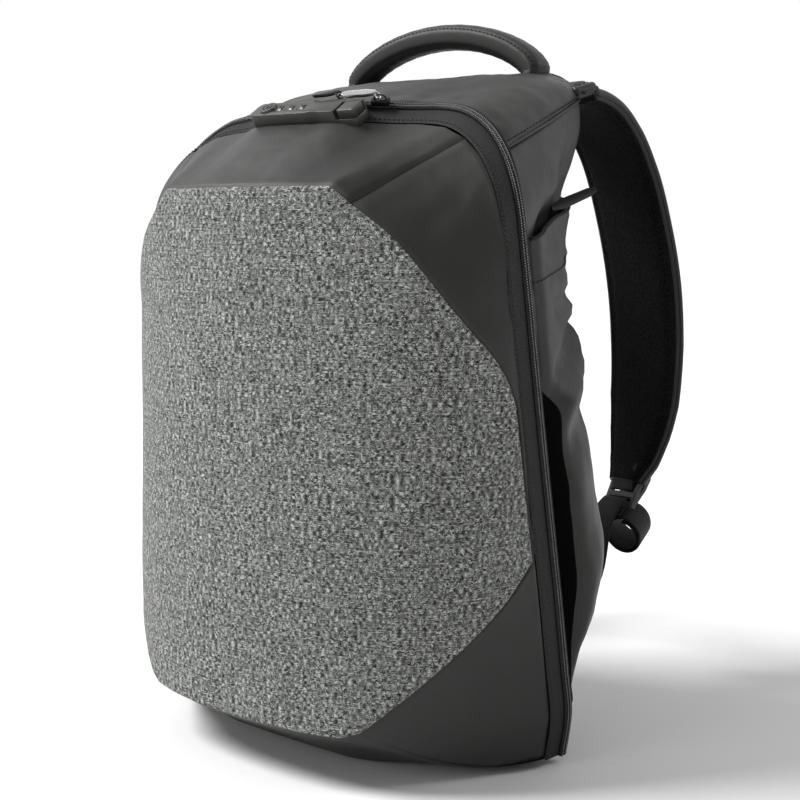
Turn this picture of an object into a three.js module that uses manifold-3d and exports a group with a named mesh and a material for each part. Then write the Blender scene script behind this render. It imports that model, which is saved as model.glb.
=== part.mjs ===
// A slim backpack whose front flap is closed by a zip that runs over the top and down both sides.
// Millimetres. Origin on the floor under the middle of the bag, +Z up, the flap faces -Y.
import * as THREE from 'three';
import { mergeVertices } from 'three/addons/utils/BufferGeometryUtils.js';
import Module from 'manifold-3d';

const wasm = await Module();
wasm.setup();

// Bag body
const zipHeight = 413; // floor to the flap's edge at the top
const flapHalfWidth = 166; // half the width at the flap's edge, near the floor
const flapReach = 140; // how far the flap stands in front of the origin
const zipBaseSetback = 11; // how far in front of the origin the flap's edge starts at the floor
const zipLean = 59; // how much further forward the flap's edge is at the top
const zipCornerRadius = 74;
const zipCornerSetback = 25; // how much the zip's upper corners stand behind its sides and middle
const backHeight = 454; // floor to the top seam of the back panel
const backHalfWidth = 126;
const backReach = 98; // how far the back panel stands behind the origin
const topCrown = 2;

// Cloth
const seamGap = 0.35;
const clothWall = 1.7;
const frontPanelWall = 2.6;
const frontPanelStep = 0.9; // the grey panel stands this much proud
const backPadWall = 6;
const zipBand = 20; // tape and teeth together
const zipFlare = 1; // how far the zip's band turns outward at the sides
const zipRise = 12; // how far it rises over the top
const teethHeight = 2;
const pocketPuff = 15;
const pocketClearance = 1;

// Handle and shoulder straps
const handleHalfSpan = 80;
const handleRise = 28.5;
const handleFullness = 1.4; // exponent of its arch: 1 is half an ellipse, more has lower shoulders
const handleWidth = 23;
const handleThickness = 18;
const handleSetback = 84;
const handleSink = 9; // how far its ends reach below the top seam before they are trimmed
const handleFootLean = 5;
const strapWidth = 74;
const strapThickness = 13;
const strapReach = 221; // the furthest that a strap stands behind the origin
const strapSpread = 95; // from the middle to a strap's centre line
const webWidth = 25;
const webThickness = 1.6;
const buckleThickness = 4;
const leverLength = 34;
const tailRadius = 15.5;
const tailTurns = 2;
const tailPitch = 3.2; // between turns of the roll
const tailStretch = 1.2; // how much taller than wide the roll is
const tailAxis = { x: -0.13, y: 0.9, z: 0.38 };
const anchorWidth = 38;
const anchorThickness = 4;
const anchorLength = 24; // behind the back panel
const anchorClimb = 8;
const anchorSpread = 3;

// Combination lock
const lockLength = 92;
const lockDepth = 16;
const lockHeight = 12;
const lockSink = 4.5; // how deep the lock is let into the zip's band
const lockEnd = 4; // radius of its rounded ends
const lockOffset = 4; // its middle lies this far to the right of the bag's
const lockTilt = 33; // degrees
const dialCount = 3;
const dialRadius = 4.6;
const dialWidth = 5;
const dialPitch = 9.8;
const dialPlace = -13; // from the lock's middle to the middle dial
const dialProud = 0.5;
const dialClearance = 0.4;
const dialAxleRadius = 1.5;
const buttonLength = 14;
const buttonHeight = 6;
const buttonTravel = 2;
const buttonMargin = 4; // of the lock's body behind the button
const keyPlace = -33; // from the lock's middle to its key boss
const keyBossRadius = 6;
const keyBossHeight = 1.6;
const keyCoreRadius = 3.2;
const keyCoreDepth = 5;
const keySlotWidth = 1;
const sliderLength = 12;
const sliderWidth = 7.4;
const sliderHeight = 2.6;
const sliderCorner = 2.2;
const bridgeHeight = 3;
const bridgeWire = 1.2;
const sliderPlace = 49; // from the bag's middle to the nearer slider
const sliderPitch = 23;
const pullerLength = 21.5;
const ringRadius = 2.6;
const ringWire = 0.6;
const ringTilt = 50; // degrees
const pullerWidth = 6.6;
const pullerThickness = 2;
const runningGap = 0.35;
const pocketPullerLength = 34;
const pocketPullerWidth = 7;
const pocketPullerTurn = 22; // degrees above level
const pocketPullerSplay = 32; // degrees out from the side wall's front-to-back line
const pocketPullerLift = 3; // above the pocket's mouth

// Sections of the flap, from the floor up. Shares of zipHeight, flapHalfWidth and flapReach; roundness is
// the exponent of the section's rounded outline.
const flapSections = [
  { height: 0.0, width: 0.94, reach: 1.0, roundness: 2.2 },
  { height: 0.05, width: 1.0, reach: 1.0, roundness: 2.2 },
  { height: 0.12, width: 1.0, reach: 1.0, roundness: 2.2 },
  { height: 0.28, width: 0.99, reach: 0.993, roundness: 2.12 },
  { height: 0.42, width: 0.976, reach: 0.986, roundness: 2.0 },
  { height: 0.55, width: 0.964, reach: 0.98, roundness: 1.9 },
  { height: 0.71, width: 0.952, reach: 0.96, roundness: 1.8 },
  { height: 0.88, width: 0.94, reach: 0.935, roundness: 1.8 },
  { height: 1.0, width: 0.94, reach: 0.92, roundness: 1.8 },
];

// The cut of the grey panel: its half girth as a share of the flap's, and the rows up to the next line.
const panelCut = [
  { height: 0.087, girth: 0.36, rows: 1 },
  { height: 0.1, girth: 0.424, rows: 1 },
  { height: 0.122, girth: 0.475, rows: 4 },
  { height: 0.345, girth: 0.986, rows: 3 },
  { height: 0.581, girth: 0.986, rows: 1 },
  { height: 0.627, girth: 0.953, rows: 1 },
  { height: 0.717, girth: 0.811, rows: 1 },
  { height: 0.775, girth: 0.72, rows: 1 },
  { height: 0.826, girth: 0.63, rows: 1 },
  { height: 0.879, girth: 0.478, rows: 1 },
  { height: 0.903, girth: 0.41, rows: 0 },
];
const panelColumns = 12;
const creaseRow = 14; // where the crease to the zip's corner starts
const hemRow = 1; // where the seam of the underside starts

// Where the side wall meets the back panel, one row for each station along the straight of the zip.
// Shares of zipHeight (zip), backHeight, backHalfWidth and backReach; bulge in shares of pocketPuff.
const sideRows = [
  { zip: 0.014, height: 0.092, width: 0.86, reach: 0.66, bulge: 0.1 },
  { zip: 0.09, height: 0.142, width: 0.9, reach: 0.69, bulge: 0.12 },
  { zip: 0.16, height: 0.197, width: 0.94, reach: 0.715, bulge: 0.25 },
  { zip: 0.225, height: 0.251, width: 0.98, reach: 0.74, bulge: 0.4 },
  { zip: 0.285, height: 0.302, width: 0.99, reach: 0.76, bulge: 0.4 },
  { zip: 0.345, height: 0.358, width: 0.96, reach: 0.775, bulge: 0.4 },
  { zip: 0.43, height: 0.44, width: 0.91, reach: 0.795, bulge: 0.35 },
  { zip: 0.53, height: 0.54, width: 0.85, reach: 0.815, bulge: 0.25 },
  { zip: 0.66, height: 0.663, width: 0.79, reach: 0.843, bulge: 0.1 },
  { zip: 0.82, height: 0.815, width: 0.8, reach: 0.875, bulge: 0.1 },
];
const backCorner = [
  { height: 0.865, width: 0.86, reach: 0.89 },
  { height: 0.915, width: 0.9, reach: 0.91 },
  { height: 0.955, width: 0.885, reach: 0.93 },
  { height: 0.98, width: 0.83, reach: 0.95 },
  { height: 0.992, width: 0.74, reach: 0.97 },
  { height: 1.0, width: 0.62, reach: 0.985 },
];
const cornerSteps = backCorner.length;
const creaseSteps = 4; // corner steps up to the end of the flap's crease
const topSteps = 10;
const sideColumns = [0, 0.07, 0.22, 0.4, 0.58, 0.76, 0.92, 1];
const pocketFirst = 1;
const pocketLast = 9;
const seamStation = 12; // where the side wall's seam with the top wall lies

// The underside's height along the middle, row by row to the back: shares of its height at the front edge
// and at the back edge.
const undersideRows = [
  { front: 1, rear: 0 },
  { front: 0.5, rear: 0 },
  { front: 0, rear: 0 },
  { front: 0, rear: 0 },
  { front: 0, rear: 0 },
  { front: 0, rear: 0 },
  { front: 0, rear: 0 },
  { front: 0, rear: 0 },
  { front: 0, rear: 0 },
  { front: 0, rear: 0 },
  { front: 0, rear: 0 },
  { front: 0, rear: 0.15 },
  { front: 0, rear: 0.6 },
  { front: 0, rear: 1 },
];
const flatShare = 0.4; // share of the underside's width that lies flat

// A shoulder strap from the top seam down to the buckle. Shares of strapSpread, strapReach, backHeight
// and strapWidth; twist in degrees about the strap's own line.
const strapRows = [
  { out: 0.84, back: 0.42, height: 0.965, width: 0.88, twist: 0 },
  { out: 0.87, back: 0.5, height: 0.97, width: 0.94, twist: 4 },
  { out: 0.89, back: 0.6, height: 0.962, width: 1.0, twist: 9 },
  { out: 0.91, back: 0.71, height: 0.93, width: 1.02, twist: 13 },
  { out: 0.94, back: 0.81, height: 0.87, width: 1.02, twist: 15 },
  { out: 0.98, back: 0.895, height: 0.77, width: 1.02, twist: 15 },
  { out: 1.02, back: 0.94, height: 0.67, width: 1.02, twist: 15 },
  { out: 1.03, back: 0.965, height: 0.57, width: 1.0, twist: 15 },
  { out: 1.02, back: 0.965, height: 0.47, width: 0.96, twist: 16 },
  { out: 1.0, back: 0.955, height: 0.41, width: 0.86, twist: 18 },
  { out: 0.985, back: 0.93, height: 0.36, width: 0.7, twist: 20 },
  { out: 0.97, back: 0.9, height: 0.33, width: 0.52, twist: 22 },
];
const tailStation = { out: 0.98, back: 0.91, height: 0.2517 };
const anchorStation = { width: 0.76, reach: 0.8, height: 0.15 };

const colours = {
  melange: { color: 0x7d7f7b, roughness: 0.95, metalness: 0 },
  coated: { color: 0x3b3c39, roughness: 0.6, metalness: 0 },
  tape: { color: 0x232423, roughness: 0.85, metalness: 0 },
  teeth: { color: 0x141414, roughness: 0.35, metalness: 0 },
  mesh: { color: 0x121212, roughness: 0.95, metalness: 0 },
  webbing: { color: 0x1b1b1b, roughness: 0.8, metalness: 0 },
  plastic: { color: 0x4a4c4b, roughness: 0.45, metalness: 0 },
  lockMetal: { color: 0x4d4f4c, roughness: 0.4, metalness: 0.6 },
  dial: { color: 0x1c1c1c, roughness: 0.4, metalness: 0.2 },
  gunmetal: { color: 0x2a2a2c, roughness: 0.3, metalness: 0.8 },
  chrome: { color: 0xd0d0d0, roughness: 0.15, metalness: 1 },
};

const group = new THREE.Group();

function point(x, y, z) {
  return new THREE.Vector3(x, y, z);
}

function mirrored(p) {
  return point(-p.x, p.y, p.z);
}

function mix(a, b, t) {
  return a.clone().lerp(b, t);
}

function add(name, geometry, finish) {
  const mesh = new THREE.Mesh(geometry, new THREE.MeshStandardMaterial(colours[finish]));
  mesh.name = name;
  group.add(mesh);
  return mesh;
}

// A value of a table at a height, read between its rows.
function tableValue(table, height, column) {
  let row = 0;
  while (row < table.length - 2 && table[row + 1].height < height) row += 1;
  const low = table[row];
  const high = table[row + 1];
  const t = THREE.MathUtils.clamp((height - low.height) / (high.height - low.height), 0, 1);
  return low[column] + (high[column] - low[column]) * t;
}

function meshFrom(points, triangles) {
  const geometry = new THREE.BufferGeometry();
  const numbers = points.flatMap((p) => [p.x, p.y, p.z]);
  geometry.setAttribute('position', new THREE.Float32BufferAttribute(numbers, 3));
  geometry.setIndex(triangles);
  geometry.computeVertexNormals();
  return geometry;
}

// A closed wall between two grids of points, the outer one and the inner one.
function wallBetween(outer, inner) {
  const rows = outer.length;
  const columns = outer[0].length;
  const at = (i, j) => i * columns + j;
  const inside = (i, j) => rows * columns + at(i, j);
  const triangles = [];
  const quad = (a, b, c, d) => triangles.push(a, b, c, a, c, d);
  for (let i = 0; i < rows - 1; i += 1) {
    for (let j = 0; j < columns - 1; j += 1) {
      // Each cell is split along its shorter diagonal.
      const falling = outer[i][j].distanceTo(outer[i + 1][j + 1]);
      const rising = outer[i][j + 1].distanceTo(outer[i + 1][j]);
      if (falling <= rising) {
        quad(at(i, j), at(i, j + 1), at(i + 1, j + 1), at(i + 1, j));
        quad(inside(i, j), inside(i + 1, j), inside(i + 1, j + 1), inside(i, j + 1));
      } else {
        quad(at(i, j + 1), at(i + 1, j + 1), at(i + 1, j), at(i, j));
        quad(inside(i, j + 1), inside(i, j), inside(i + 1, j), inside(i + 1, j + 1));
      }
    }
    quad(at(i, 0), at(i + 1, 0), inside(i + 1, 0), inside(i, 0));
    quad(at(i + 1, columns - 1), at(i, columns - 1), inside(i, columns - 1), inside(i + 1, columns - 1));
  }
  for (let j = 0; j < columns - 1; j += 1) {
    quad(at(0, j + 1), at(0, j), inside(0, j), inside(0, j + 1));
    quad(at(rows - 1, j), at(rows - 1, j + 1), inside(rows - 1, j + 1), inside(rows - 1, j));
  }
  return meshFrom([...outer.flat(), ...inner.flat()], triangles);
}

// A closed solid through a row of loops of points, with flat ends.
function solidThrough(loops) {
  const around = loops[0].length;
  const triangles = [];
  for (let i = 0; i < loops.length - 1; i += 1) {
    for (let j = 0; j < around; j += 1) {
      const a = i * around + j;
      const b = i * around + ((j + 1) % around);
      triangles.push(a, b, b + around, a, b + around, a + around);
    }
  }
  const last = (loops.length - 1) * around;
  for (let j = 1; j < around - 1; j += 1) {
    triangles.push(0, j + 1, j);
    triangles.push(last, last + j, last + j + 1);
  }
  return meshFrom(loops.flat(), triangles);
}

// Outward normals of all cloth walls together, so that walls that meet share their edge's normal.
const normalSums = new Map();
const keyFactor = 50;

function pointKey(p) {
  return [p.x, p.y, p.z].map((v) => Math.round(v * keyFactor)).join(' ');
}

function registerSkin(grid) {
  for (let i = 0; i < grid.length - 1; i += 1) {
    for (let j = 0; j < grid[0].length - 1; j += 1) {
      const corners = [grid[i][j], grid[i + 1][j], grid[i + 1][j + 1], grid[i][j + 1]];
      const normal = corners[3].clone().sub(corners[1]).cross(corners[2].clone().sub(corners[0]));
      for (const corner of corners) {
        const key = pointKey(corner);
        const sum = normalSums.get(key) ?? point(0, 0, 0);
        normalSums.set(key, sum.add(normal));
      }
    }
  }
  return grid;
}

function normalAt(p) {
  return normalSums.get(pointKey(p)).clone().normalize();
}

// The grid with its four edges drawn in, so that a seam gap is left to the neighbours.
function drawnIn(grid, amount) {
  const rows = grid.length - 1;
  const columns = grid[0].length - 1;
  return grid.map((row, i) => row.map((p, j) => {
    const moved = p.clone();
    const pull = (q) => moved.add(q.clone().sub(p).setLength(amount));
    if (i === 0) pull(grid[1][j]);
    if (i === rows) pull(grid[rows - 1][j]);
    if (j === 0) pull(row[1]);
    if (j === columns) pull(row[columns - 1]);
    return moved;
  }));
}

function offsetGrid(grid, base, distance) {
  return grid.map((row, i) => row.map((p, j) => {
    const amount = typeof distance === 'function' ? distance(i, j) : distance;
    return p.clone().addScaledVector(normalAt(base[i][j]), amount);
  }));
}

function clothWallOf(grid, thickness, lift = 0) {
  const drawn = drawnIn(grid, seamGap / 2);
  return wallBetween(offsetGrid(drawn, grid, lift), offsetGrid(drawn, grid, lift - thickness));
}

// Flap surface: a rounded section from the middle of the front to the flap's edge.
function flapEdgeY(z) {
  return -zipBaseSetback - zipLean * (z / zipHeight);
}

function flapPoint(turn, z) {
  const height = z / zipHeight;
  const halfWidth = flapHalfWidth * tableValue(flapSections, height, 'width');
  const front = -flapReach * tableValue(flapSections, height, 'reach');
  const power = 2 / tableValue(flapSections, height, 'roundness');
  const edge = flapEdgeY(z);
  const side = Math.sin(turn);
  const x = Math.sign(side) * halfWidth * Math.abs(side) ** power;
  return point(x, edge - (edge - front) * Math.abs(Math.cos(turn)) ** power, z);
}

// Points of the section at a height, evenly spaced along its girth out to a share of it.
function girthRow(z, share, columns) {
  const samples = 90;
  const fine = [];
  const lengths = [0];
  for (let i = 0; i <= samples; i += 1) {
    fine.push(flapPoint((Math.PI / 2) * (i / samples), z));
    if (i > 0) lengths.push(lengths[i - 1] + fine[i].distanceTo(fine[i - 1]));
  }
  const pointAt = (length) => {
    let i = 1;
    while (i < samples && lengths[i] < length) i += 1;
    return mix(fine[i - 1], fine[i], (length - lengths[i - 1]) / (lengths[i] - lengths[i - 1]));
  };
  const row = [];
  for (let j = 0; j <= columns; j += 1) {
    const place = 1 - (2 * j) / columns;
    const p = pointAt(Math.abs(place) * share * lengths[samples]);
    row.push(place < 0 ? mirrored(p) : p);
  }
  return row;
}

function panelGrid() {
  const grid = [];
  panelCut.forEach((line, i) => {
    const next = panelCut[i + 1] ?? line;
    for (let k = 0; k < Math.max(line.rows, 1); k += 1) {
      const t = k / Math.max(line.rows, 1);
      const height = THREE.MathUtils.lerp(line.height, next.height, t);
      const share = THREE.MathUtils.lerp(line.girth, next.girth, t);
      grid.push(girthRow(zipHeight * height, share, panelColumns));
    }
  });
  return grid;
}

// The flap's edge, station by station: up the right side, over the top and down the left side.
function flapEdgeRight() {
  const centreX = flapPoint(Math.PI / 2, zipHeight - zipCornerRadius).x - zipCornerRadius;
  const centreZ = zipHeight - zipCornerRadius;
  const stations = sideRows.map((row) => flapPoint(Math.PI / 2, zipHeight * row.zip));
  for (let k = 1; k <= cornerSteps; k += 1) {
    const turn = (Math.PI / 2) * (k / cornerSteps);
    const z = centreZ + zipCornerRadius * Math.sin(turn);
    const setback = zipCornerSetback * Math.sin(turn) ** 2;
    stations.push(point(centreX + zipCornerRadius * Math.cos(turn), flapEdgeY(z) + setback, z));
  }
  return stations;
}

function withTopAndLeft(right, crown, bow) {
  const end = right[right.length - 1];
  const loop = [...right];
  for (let k = 1; k < topSteps; k += 1) {
    const place = 1 - (2 * k) / topSteps;
    const middle = 1 - THREE.MathUtils.smoothstep(Math.abs(place), 0.35, 1);
    loop.push(point(end.x * place, end.y - bow * middle, end.z + crown * middle));
  }
  return [...loop, ...right.map(mirrored).reverse()];
}

function outwardAlong(loop, k) {
  const before = loop[Math.max(k - 1, 0)];
  const after = loop[Math.min(k + 1, loop.length - 1)];
  return point(after.z - before.z, 0, before.x - after.x).normalize();
}

const panel = panelGrid();
const panelRows = panel.length - 1;
const flapEdge = withTopAndLeft(flapEdgeRight(), topCrown, zipCornerSetback);
const lastStation = flapEdge.length - 1;
const creaseStation = sideRows.length - 1 + creaseSteps;

function bandPoint(k, share) {
  const outward = outwardAlong(flapEdge, k);
  const flare = THREE.MathUtils.lerp(zipFlare, zipRise, outward.z ** 2);
  return flapEdge[k].clone().add(point(0, zipBand * share, 0)).addScaledVector(outward, flare * share);
}

const tapeGrid = flapEdge.map((p, k) => [p, bandPoint(k, 0.5), bandPoint(k, 1)]);

// The flap's dark cloth: a side piece from the panel's edge to the flap's edge, and a top piece.
const flapColumns = 4;
const hemSag = 13;
const hemShare = [1, 0.35, 0.1];

function flapSideGrid() {
  const grid = [];
  for (let k = 0; k <= creaseStation; k += 1) {
    const inner = panel[hemRow + k][0];
    const row = [];
    for (let j = 0; j <= flapColumns; j += 1) {
      const t = j / flapColumns;
      const p = mix(inner, flapEdge[k], t);
      p.z -= hemSag * (hemShare[k] ?? 0) * 4 * t * (1 - t);
      row.push(p);
    }
    grid.push(row);
  }
  return grid;
}

function panelTopEdge() {
  const right = [];
  const left = [];
  for (let i = creaseRow; i < panelRows; i += 1) {
    right.push(panel[i][0]);
    left.unshift(panel[i][panelColumns]);
  }
  return [...right, ...panel[panelRows], ...left];
}

function flapTopGrid() {
  const inner = panelTopEdge();
  return inner.map((p, k) => {
    const row = [];
    for (let j = 0; j <= flapColumns; j += 1) row.push(mix(p, flapEdge[creaseStation + k], j / flapColumns));
    return row;
  });
}

// The back outline, station by station like the flap's edge.
function backOutline() {
  const right = [...sideRows, ...backCorner].map((row) => (
    point(backHalfWidth * row.width, backReach * row.reach, backHeight * row.height)
  ));
  return withTopAndLeft(right, 0, 0);
}

const back = backOutline();

function wallRow(k, columns) {
  const from = tapeGrid[k][2];
  const to = back[k];
  const outward = outwardAlong(back, k);
  const side = Math.min(k, lastStation - k);
  const bulge = side < sideRows.length ? sideRows[side].bulge : 0.4;
  return columns.map((t) => mix(from, to, t).addScaledVector(outward, pocketPuff * bulge * 4 * t * (1 - t)));
}

const wallGrid = back.map((p, k) => wallRow(k, sideColumns));
wallGrid.forEach((row, k) => {
  row[0] = tapeGrid[k][2];
  row[row.length - 1] = back[k];
});

// The underside: rows between the two lower side edges, from the panel's lower edge to the back.
function undersideGrid(side) {
  const ends = [...side[0], tapeGrid[0][1], ...wallGrid[0]];
  const lower = [panel[1][0], ...panel[0], panel[1][panelColumns]];
  const across = lower.length - 1;
  return ends.map((end, i) => {
    const forward = Math.max(1 - i / flapColumns, 0);
    return lower.map((p, j) => {
      if (i === 0) return p;
      if (j === 0) return end;
      if (j === across) return mirrored(end);
      if (i === ends.length - 1) return point(end.x * (1 - (2 * j) / across), end.y, end.z);
      const place = Math.abs(1 - (2 * j) / across);
      const middle = undersideRows[i].front * panel[0][0].z + undersideRows[i].rear * back[0].z;
      const rise = THREE.MathUtils.smoothstep(place, flatShare, 1);
      const z = THREE.MathUtils.lerp(middle, end.z, rise);
      const bow = (p.y - lower[0].y) * forward * (1 - rise);
      return point(end.x * Math.sign(p.x) * place, end.y + bow, z);
    });
  });
}

// The back panel: rows between the two sides of its outline.
function backGrid() {
  const rows = creaseStation;
  const top = back.slice(rows, lastStation - rows + 1);
  const across = top.length - 1;
  const grid = [];
  for (let k = 0; k <= rows; k += 1) {
    const end = back[k];
    grid.push(top.map((p, j) => {
      if (k === rows) return p;
      if (j === 0) return end;
      if (j === across) return mirrored(end);
      const place = 1 - (2 * j) / across;
      return point(end.x * place, end.y, end.z);
    }));
  }
  return grid;
}

function reversedRows(grid) {
  return grid.map((row) => [...row].reverse());
}

const flapSide = flapSideGrid();
const skin = {
  panel: registerSkin(reversedRows(panel)),
  flapSideRight: registerSkin(flapSide),
  flapSideLeft: registerSkin(reversedRows(flapSide).map((row) => row.map(mirrored))),
  flapTop: registerSkin(flapTopGrid()),
  tape: registerSkin(tapeGrid),
  wall: registerSkin(wallGrid),
  underside: registerSkin(undersideGrid(flapSide)),
  back: registerSkin(backGrid()),
};

function rowsOf(grid, first, last) {
  return grid.slice(first, last + 1);
}

function solidOf(geometry) {
  const bare = new THREE.BufferGeometry();
  bare.setAttribute('position', geometry.getAttribute('position'));
  bare.setIndex(geometry.getIndex());
  const merged = mergeVertices(bare, 1e-4);
  return new wasm.Manifold(new wasm.Mesh({
    numProp: 3,
    vertProperties: new Float32Array(merged.getAttribute('position').array),
    triVerts: new Uint32Array(merged.getIndex().array),
  }));
}

function geometryOf(solid) {
  const mesh = solid.getMesh();
  const geometry = new THREE.BufferGeometry();
  geometry.setAttribute('position', new THREE.BufferAttribute(new Float32Array(mesh.vertProperties), 3));
  geometry.setIndex(new THREE.BufferAttribute(new Uint32Array(mesh.triVerts), 1));
  geometry.computeVertexNormals();
  return geometry;
}

// A thick block behind a stretch of cloth, a seam gap proud of it, which trims what is sewn on there.
function cutterBehind(grid, inward) {
  const behind = grid.map((row) => row.map((p) => p.clone().add(inward)));
  return solidOf(wallBetween(offsetGrid(grid, grid, seamGap), behind));
}

function trimmed(geometry, cutters) {
  return geometryOf(cutters.reduce((solid, cutter) => solid.subtract(cutter), solidOf(geometry)));
}

// A neighbour's wall, grown by the seam gap, which clears the cloth that is sewn to it.
function grownWall(grid, thickness, lift = 0) {
  return solidOf(wallBetween(
    offsetGrid(grid, grid, lift + seamGap),
    offsetGrid(grid, grid, lift - thickness - seamGap),
  ));
}

// Cloth walls
const wallLast = seamStation;
const sideRight = rowsOf(skin.wall, 0, wallLast);
const topWall = rowsOf(skin.wall, wallLast, lastStation - wallLast);
const sideLeft = rowsOf(skin.wall, lastStation - wallLast, lastStation);

add('front_panel', clothWallOf(skin.panel, frontPanelWall, frontPanelStep), 'melange');
add('flap_side_right', clothWallOf(skin.flapSideRight, clothWall), 'coated');
add('flap_side_left', clothWallOf(skin.flapSideLeft, clothWall), 'coated');
const grownPanel = grownWall(skin.panel, frontPanelWall, frontPanelStep);
const grownSides = [grownWall(sideRight, clothWall), grownWall(sideLeft, clothWall)];
const grownTop = grownWall(topWall, clothWall);
add('underside', trimmed(clothWallOf(skin.underside, clothWall), [grownPanel, ...grownSides]), 'coated');
add('side_wall_right', clothWallOf(sideRight, clothWall), 'coated');
add('side_wall_left', clothWallOf(sideLeft, clothWall), 'coated');
add('top_wall', trimmed(clothWallOf(topWall, clothWall), grownSides), 'coated');
add('back_panel', trimmed(clothWallOf(skin.back, backPadWall), [grownTop, ...grownSides]), 'mesh');

// Side pockets: a puffed patch over each side wall, open along its top edge.
const pocketMouth = 0.5; // share of the puff that the mouth stands open
const pocketColumns = [1, sideColumns.length - 2];

function pocketOf(wall) {
  const grid = wall.map((row) => row.slice(pocketColumns[0], pocketColumns[1] + 1));
  const rows = grid.length - 1;
  const columns = grid[0].length - 1;
  const foot = (i) => (pointUp(grid) ? i / rows : 1 - i / rows);
  const puff = (i, j) => {
    const along = foot(i);
    const rise = along < 0.5 ? Math.sin(Math.PI * along) : 1 - (1 - pocketMouth) * (2 * along - 1) ** 2;
    return pocketPuff * rise * Math.sin((Math.PI * j) / columns) ** 0.8;
  };
  const inner = (i, j) => pocketClearance + puff(i, j);
  const outer = (i, j) => inner(i, j) + clothWall;
  return wallBetween(offsetGrid(grid, grid, outer), offsetGrid(grid, grid, inner));
}

function pointUp(grid) {
  return grid[grid.length - 1][0].z > grid[0][0].z;
}

const pocketRight = rowsOf(skin.wall, pocketFirst, pocketLast);
const pocketLeft = rowsOf(skin.wall, lastStation - pocketLast, lastStation - pocketFirst);
add('side_pocket_right', pocketOf(pocketRight), 'coated');
add('side_pocket_left', pocketOf(pocketLeft), 'coated');

// Sections of straps and bands: a loop of points around a centre.
function roundedLoop(centre, across, through, width, thickness) {
  const loop = [];
  const corner = thickness / 2;
  const flat = Math.max(width / 2 - corner, 0);
  const bend = 4;
  for (const side of [1, -1]) {
    for (let k = 0; k <= bend; k += 1) {
      const turn = side * (Math.PI / 2) - (Math.PI * k) / bend;
      const w = side * flat + Math.cos(turn) * corner;
      const t = Math.sin(turn) * corner;
      loop.push(centre.clone().addScaledVector(across, w).addScaledVector(through, t));
    }
  }
  return loop;
}

function flatLoop(centre, across, through, width, thickness) {
  const corners = [[1, 1], [1, -1], [-1, -1], [-1, 1]];
  return corners.map(([w, t]) => (
    centre.clone().addScaledVector(across, (w * width) / 2).addScaledVector(through, (t * thickness) / 2)
  ));
}

function tangents(points) {
  return points.map((p, i) => {
    const before = points[Math.max(i - 1, 0)];
    const after = points[Math.min(i + 1, points.length - 1)];
    return after.clone().sub(before).normalize();
  });
}

// Handle
function handleGeometry() {
  const steps = 14;
  const foot = backHeight;
  const end = point(handleHalfSpan, handleSetback - handleFootLean, foot - handleSink);
  const points = [end];
  for (let k = 0; k <= steps; k += 1) {
    const turn = (Math.PI * k) / steps;
    const x = handleHalfSpan * Math.cos(turn);
    points.push(point(x, handleSetback, foot + handleRise * Math.max(Math.sin(turn), 0) ** handleFullness));
  }
  points.push(mirrored(end));
  const along = tangents(points);
  const loops = points.map((p, i) => {
    const across = point(0, 1, 0);
    const through = across.clone().cross(along[i]);
    return roundedLoop(p, across, through, handleWidth, handleThickness);
  });
  return solidThrough(loops);
}

const topCutter = cutterBehind(topWall, point(0, 0, -2 * handleWidth));
const backCutter = cutterBehind(skin.back, point(0, -2 * handleWidth, 0));
add('top_handle', trimmed(handleGeometry(), [topCutter, backCutter]), 'coated');

// Shoulder straps
function strapPoint(row) {
  return point(strapSpread * row.out, strapReach * row.back, backHeight * row.height);
}

function strapFrames() {
  const points = strapRows.map(strapPoint);
  const along = tangents(points);
  return strapRows.map((row, i) => {
    const forward = point(1, 0, 0).cross(along[i]).normalize();
    const turn = THREE.MathUtils.degToRad(row.twist);
    const swing = forward.y < 0 ? Math.sin(turn) : -Math.sin(turn);
    const across = point(Math.cos(turn), 0, 0).addScaledVector(forward, swing);
    across.addScaledVector(along[i], -across.dot(along[i])).normalize();
    const through = across.clone().cross(along[i]).normalize();
    return { centre: points[i], across, through, along: along[i], width: strapWidth * row.width };
  });
}

const strapLine = strapFrames();

function strapGeometry() {
  const loopAt = (f) => roundedLoop(f.centre, f.across, f.through, f.width, strapThickness);
  return solidThrough(strapLine.map(loopAt));
}

// A band of webbing along a line of points, each with its own width direction.
function bandAlong(points, acrossOf, width, thickness) {
  const along = tangents(points);
  return solidThrough(points.map((p, i) => {
    const across = acrossOf(i).clone();
    across.addScaledVector(along[i], -across.dot(along[i])).normalize();
    return flatLoop(p, across, across.clone().cross(along[i]), width, thickness);
  }));
}

function bothSides(name, geometry, finish) {
  add(`${name}_right`, geometry, finish);
  const left = geometry.clone().scale(-1, 1, 1);
  const index = left.getIndex();
  for (let i = 0; i < index.count; i += 3) {
    const first = index.getX(i);
    index.setX(i, index.getX(i + 1));
    index.setX(i + 1, first);
  }
  left.computeVertexNormals();
  add(`${name}_left`, left, finish);
}

bothSides('shoulder_strap', trimmed(strapGeometry(), [backCutter, topCutter]), 'mesh');

// Buckle: a plate with two slots and a tapered lever, at the strap's lower end.
const strapEnd = strapLine[strapLine.length - 1];
const plateWidth = strapEnd.width * 0.92;
const plateLength = webWidth * 0.8;
const slotPlay = 3; // how much longer a slot is than the webbing is wide
const slotLength = webWidth + slotPlay;
const slotWidth = 4.2;
const slotPlaces = [0.3, 0.72]; // shares of the plate's length

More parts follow.
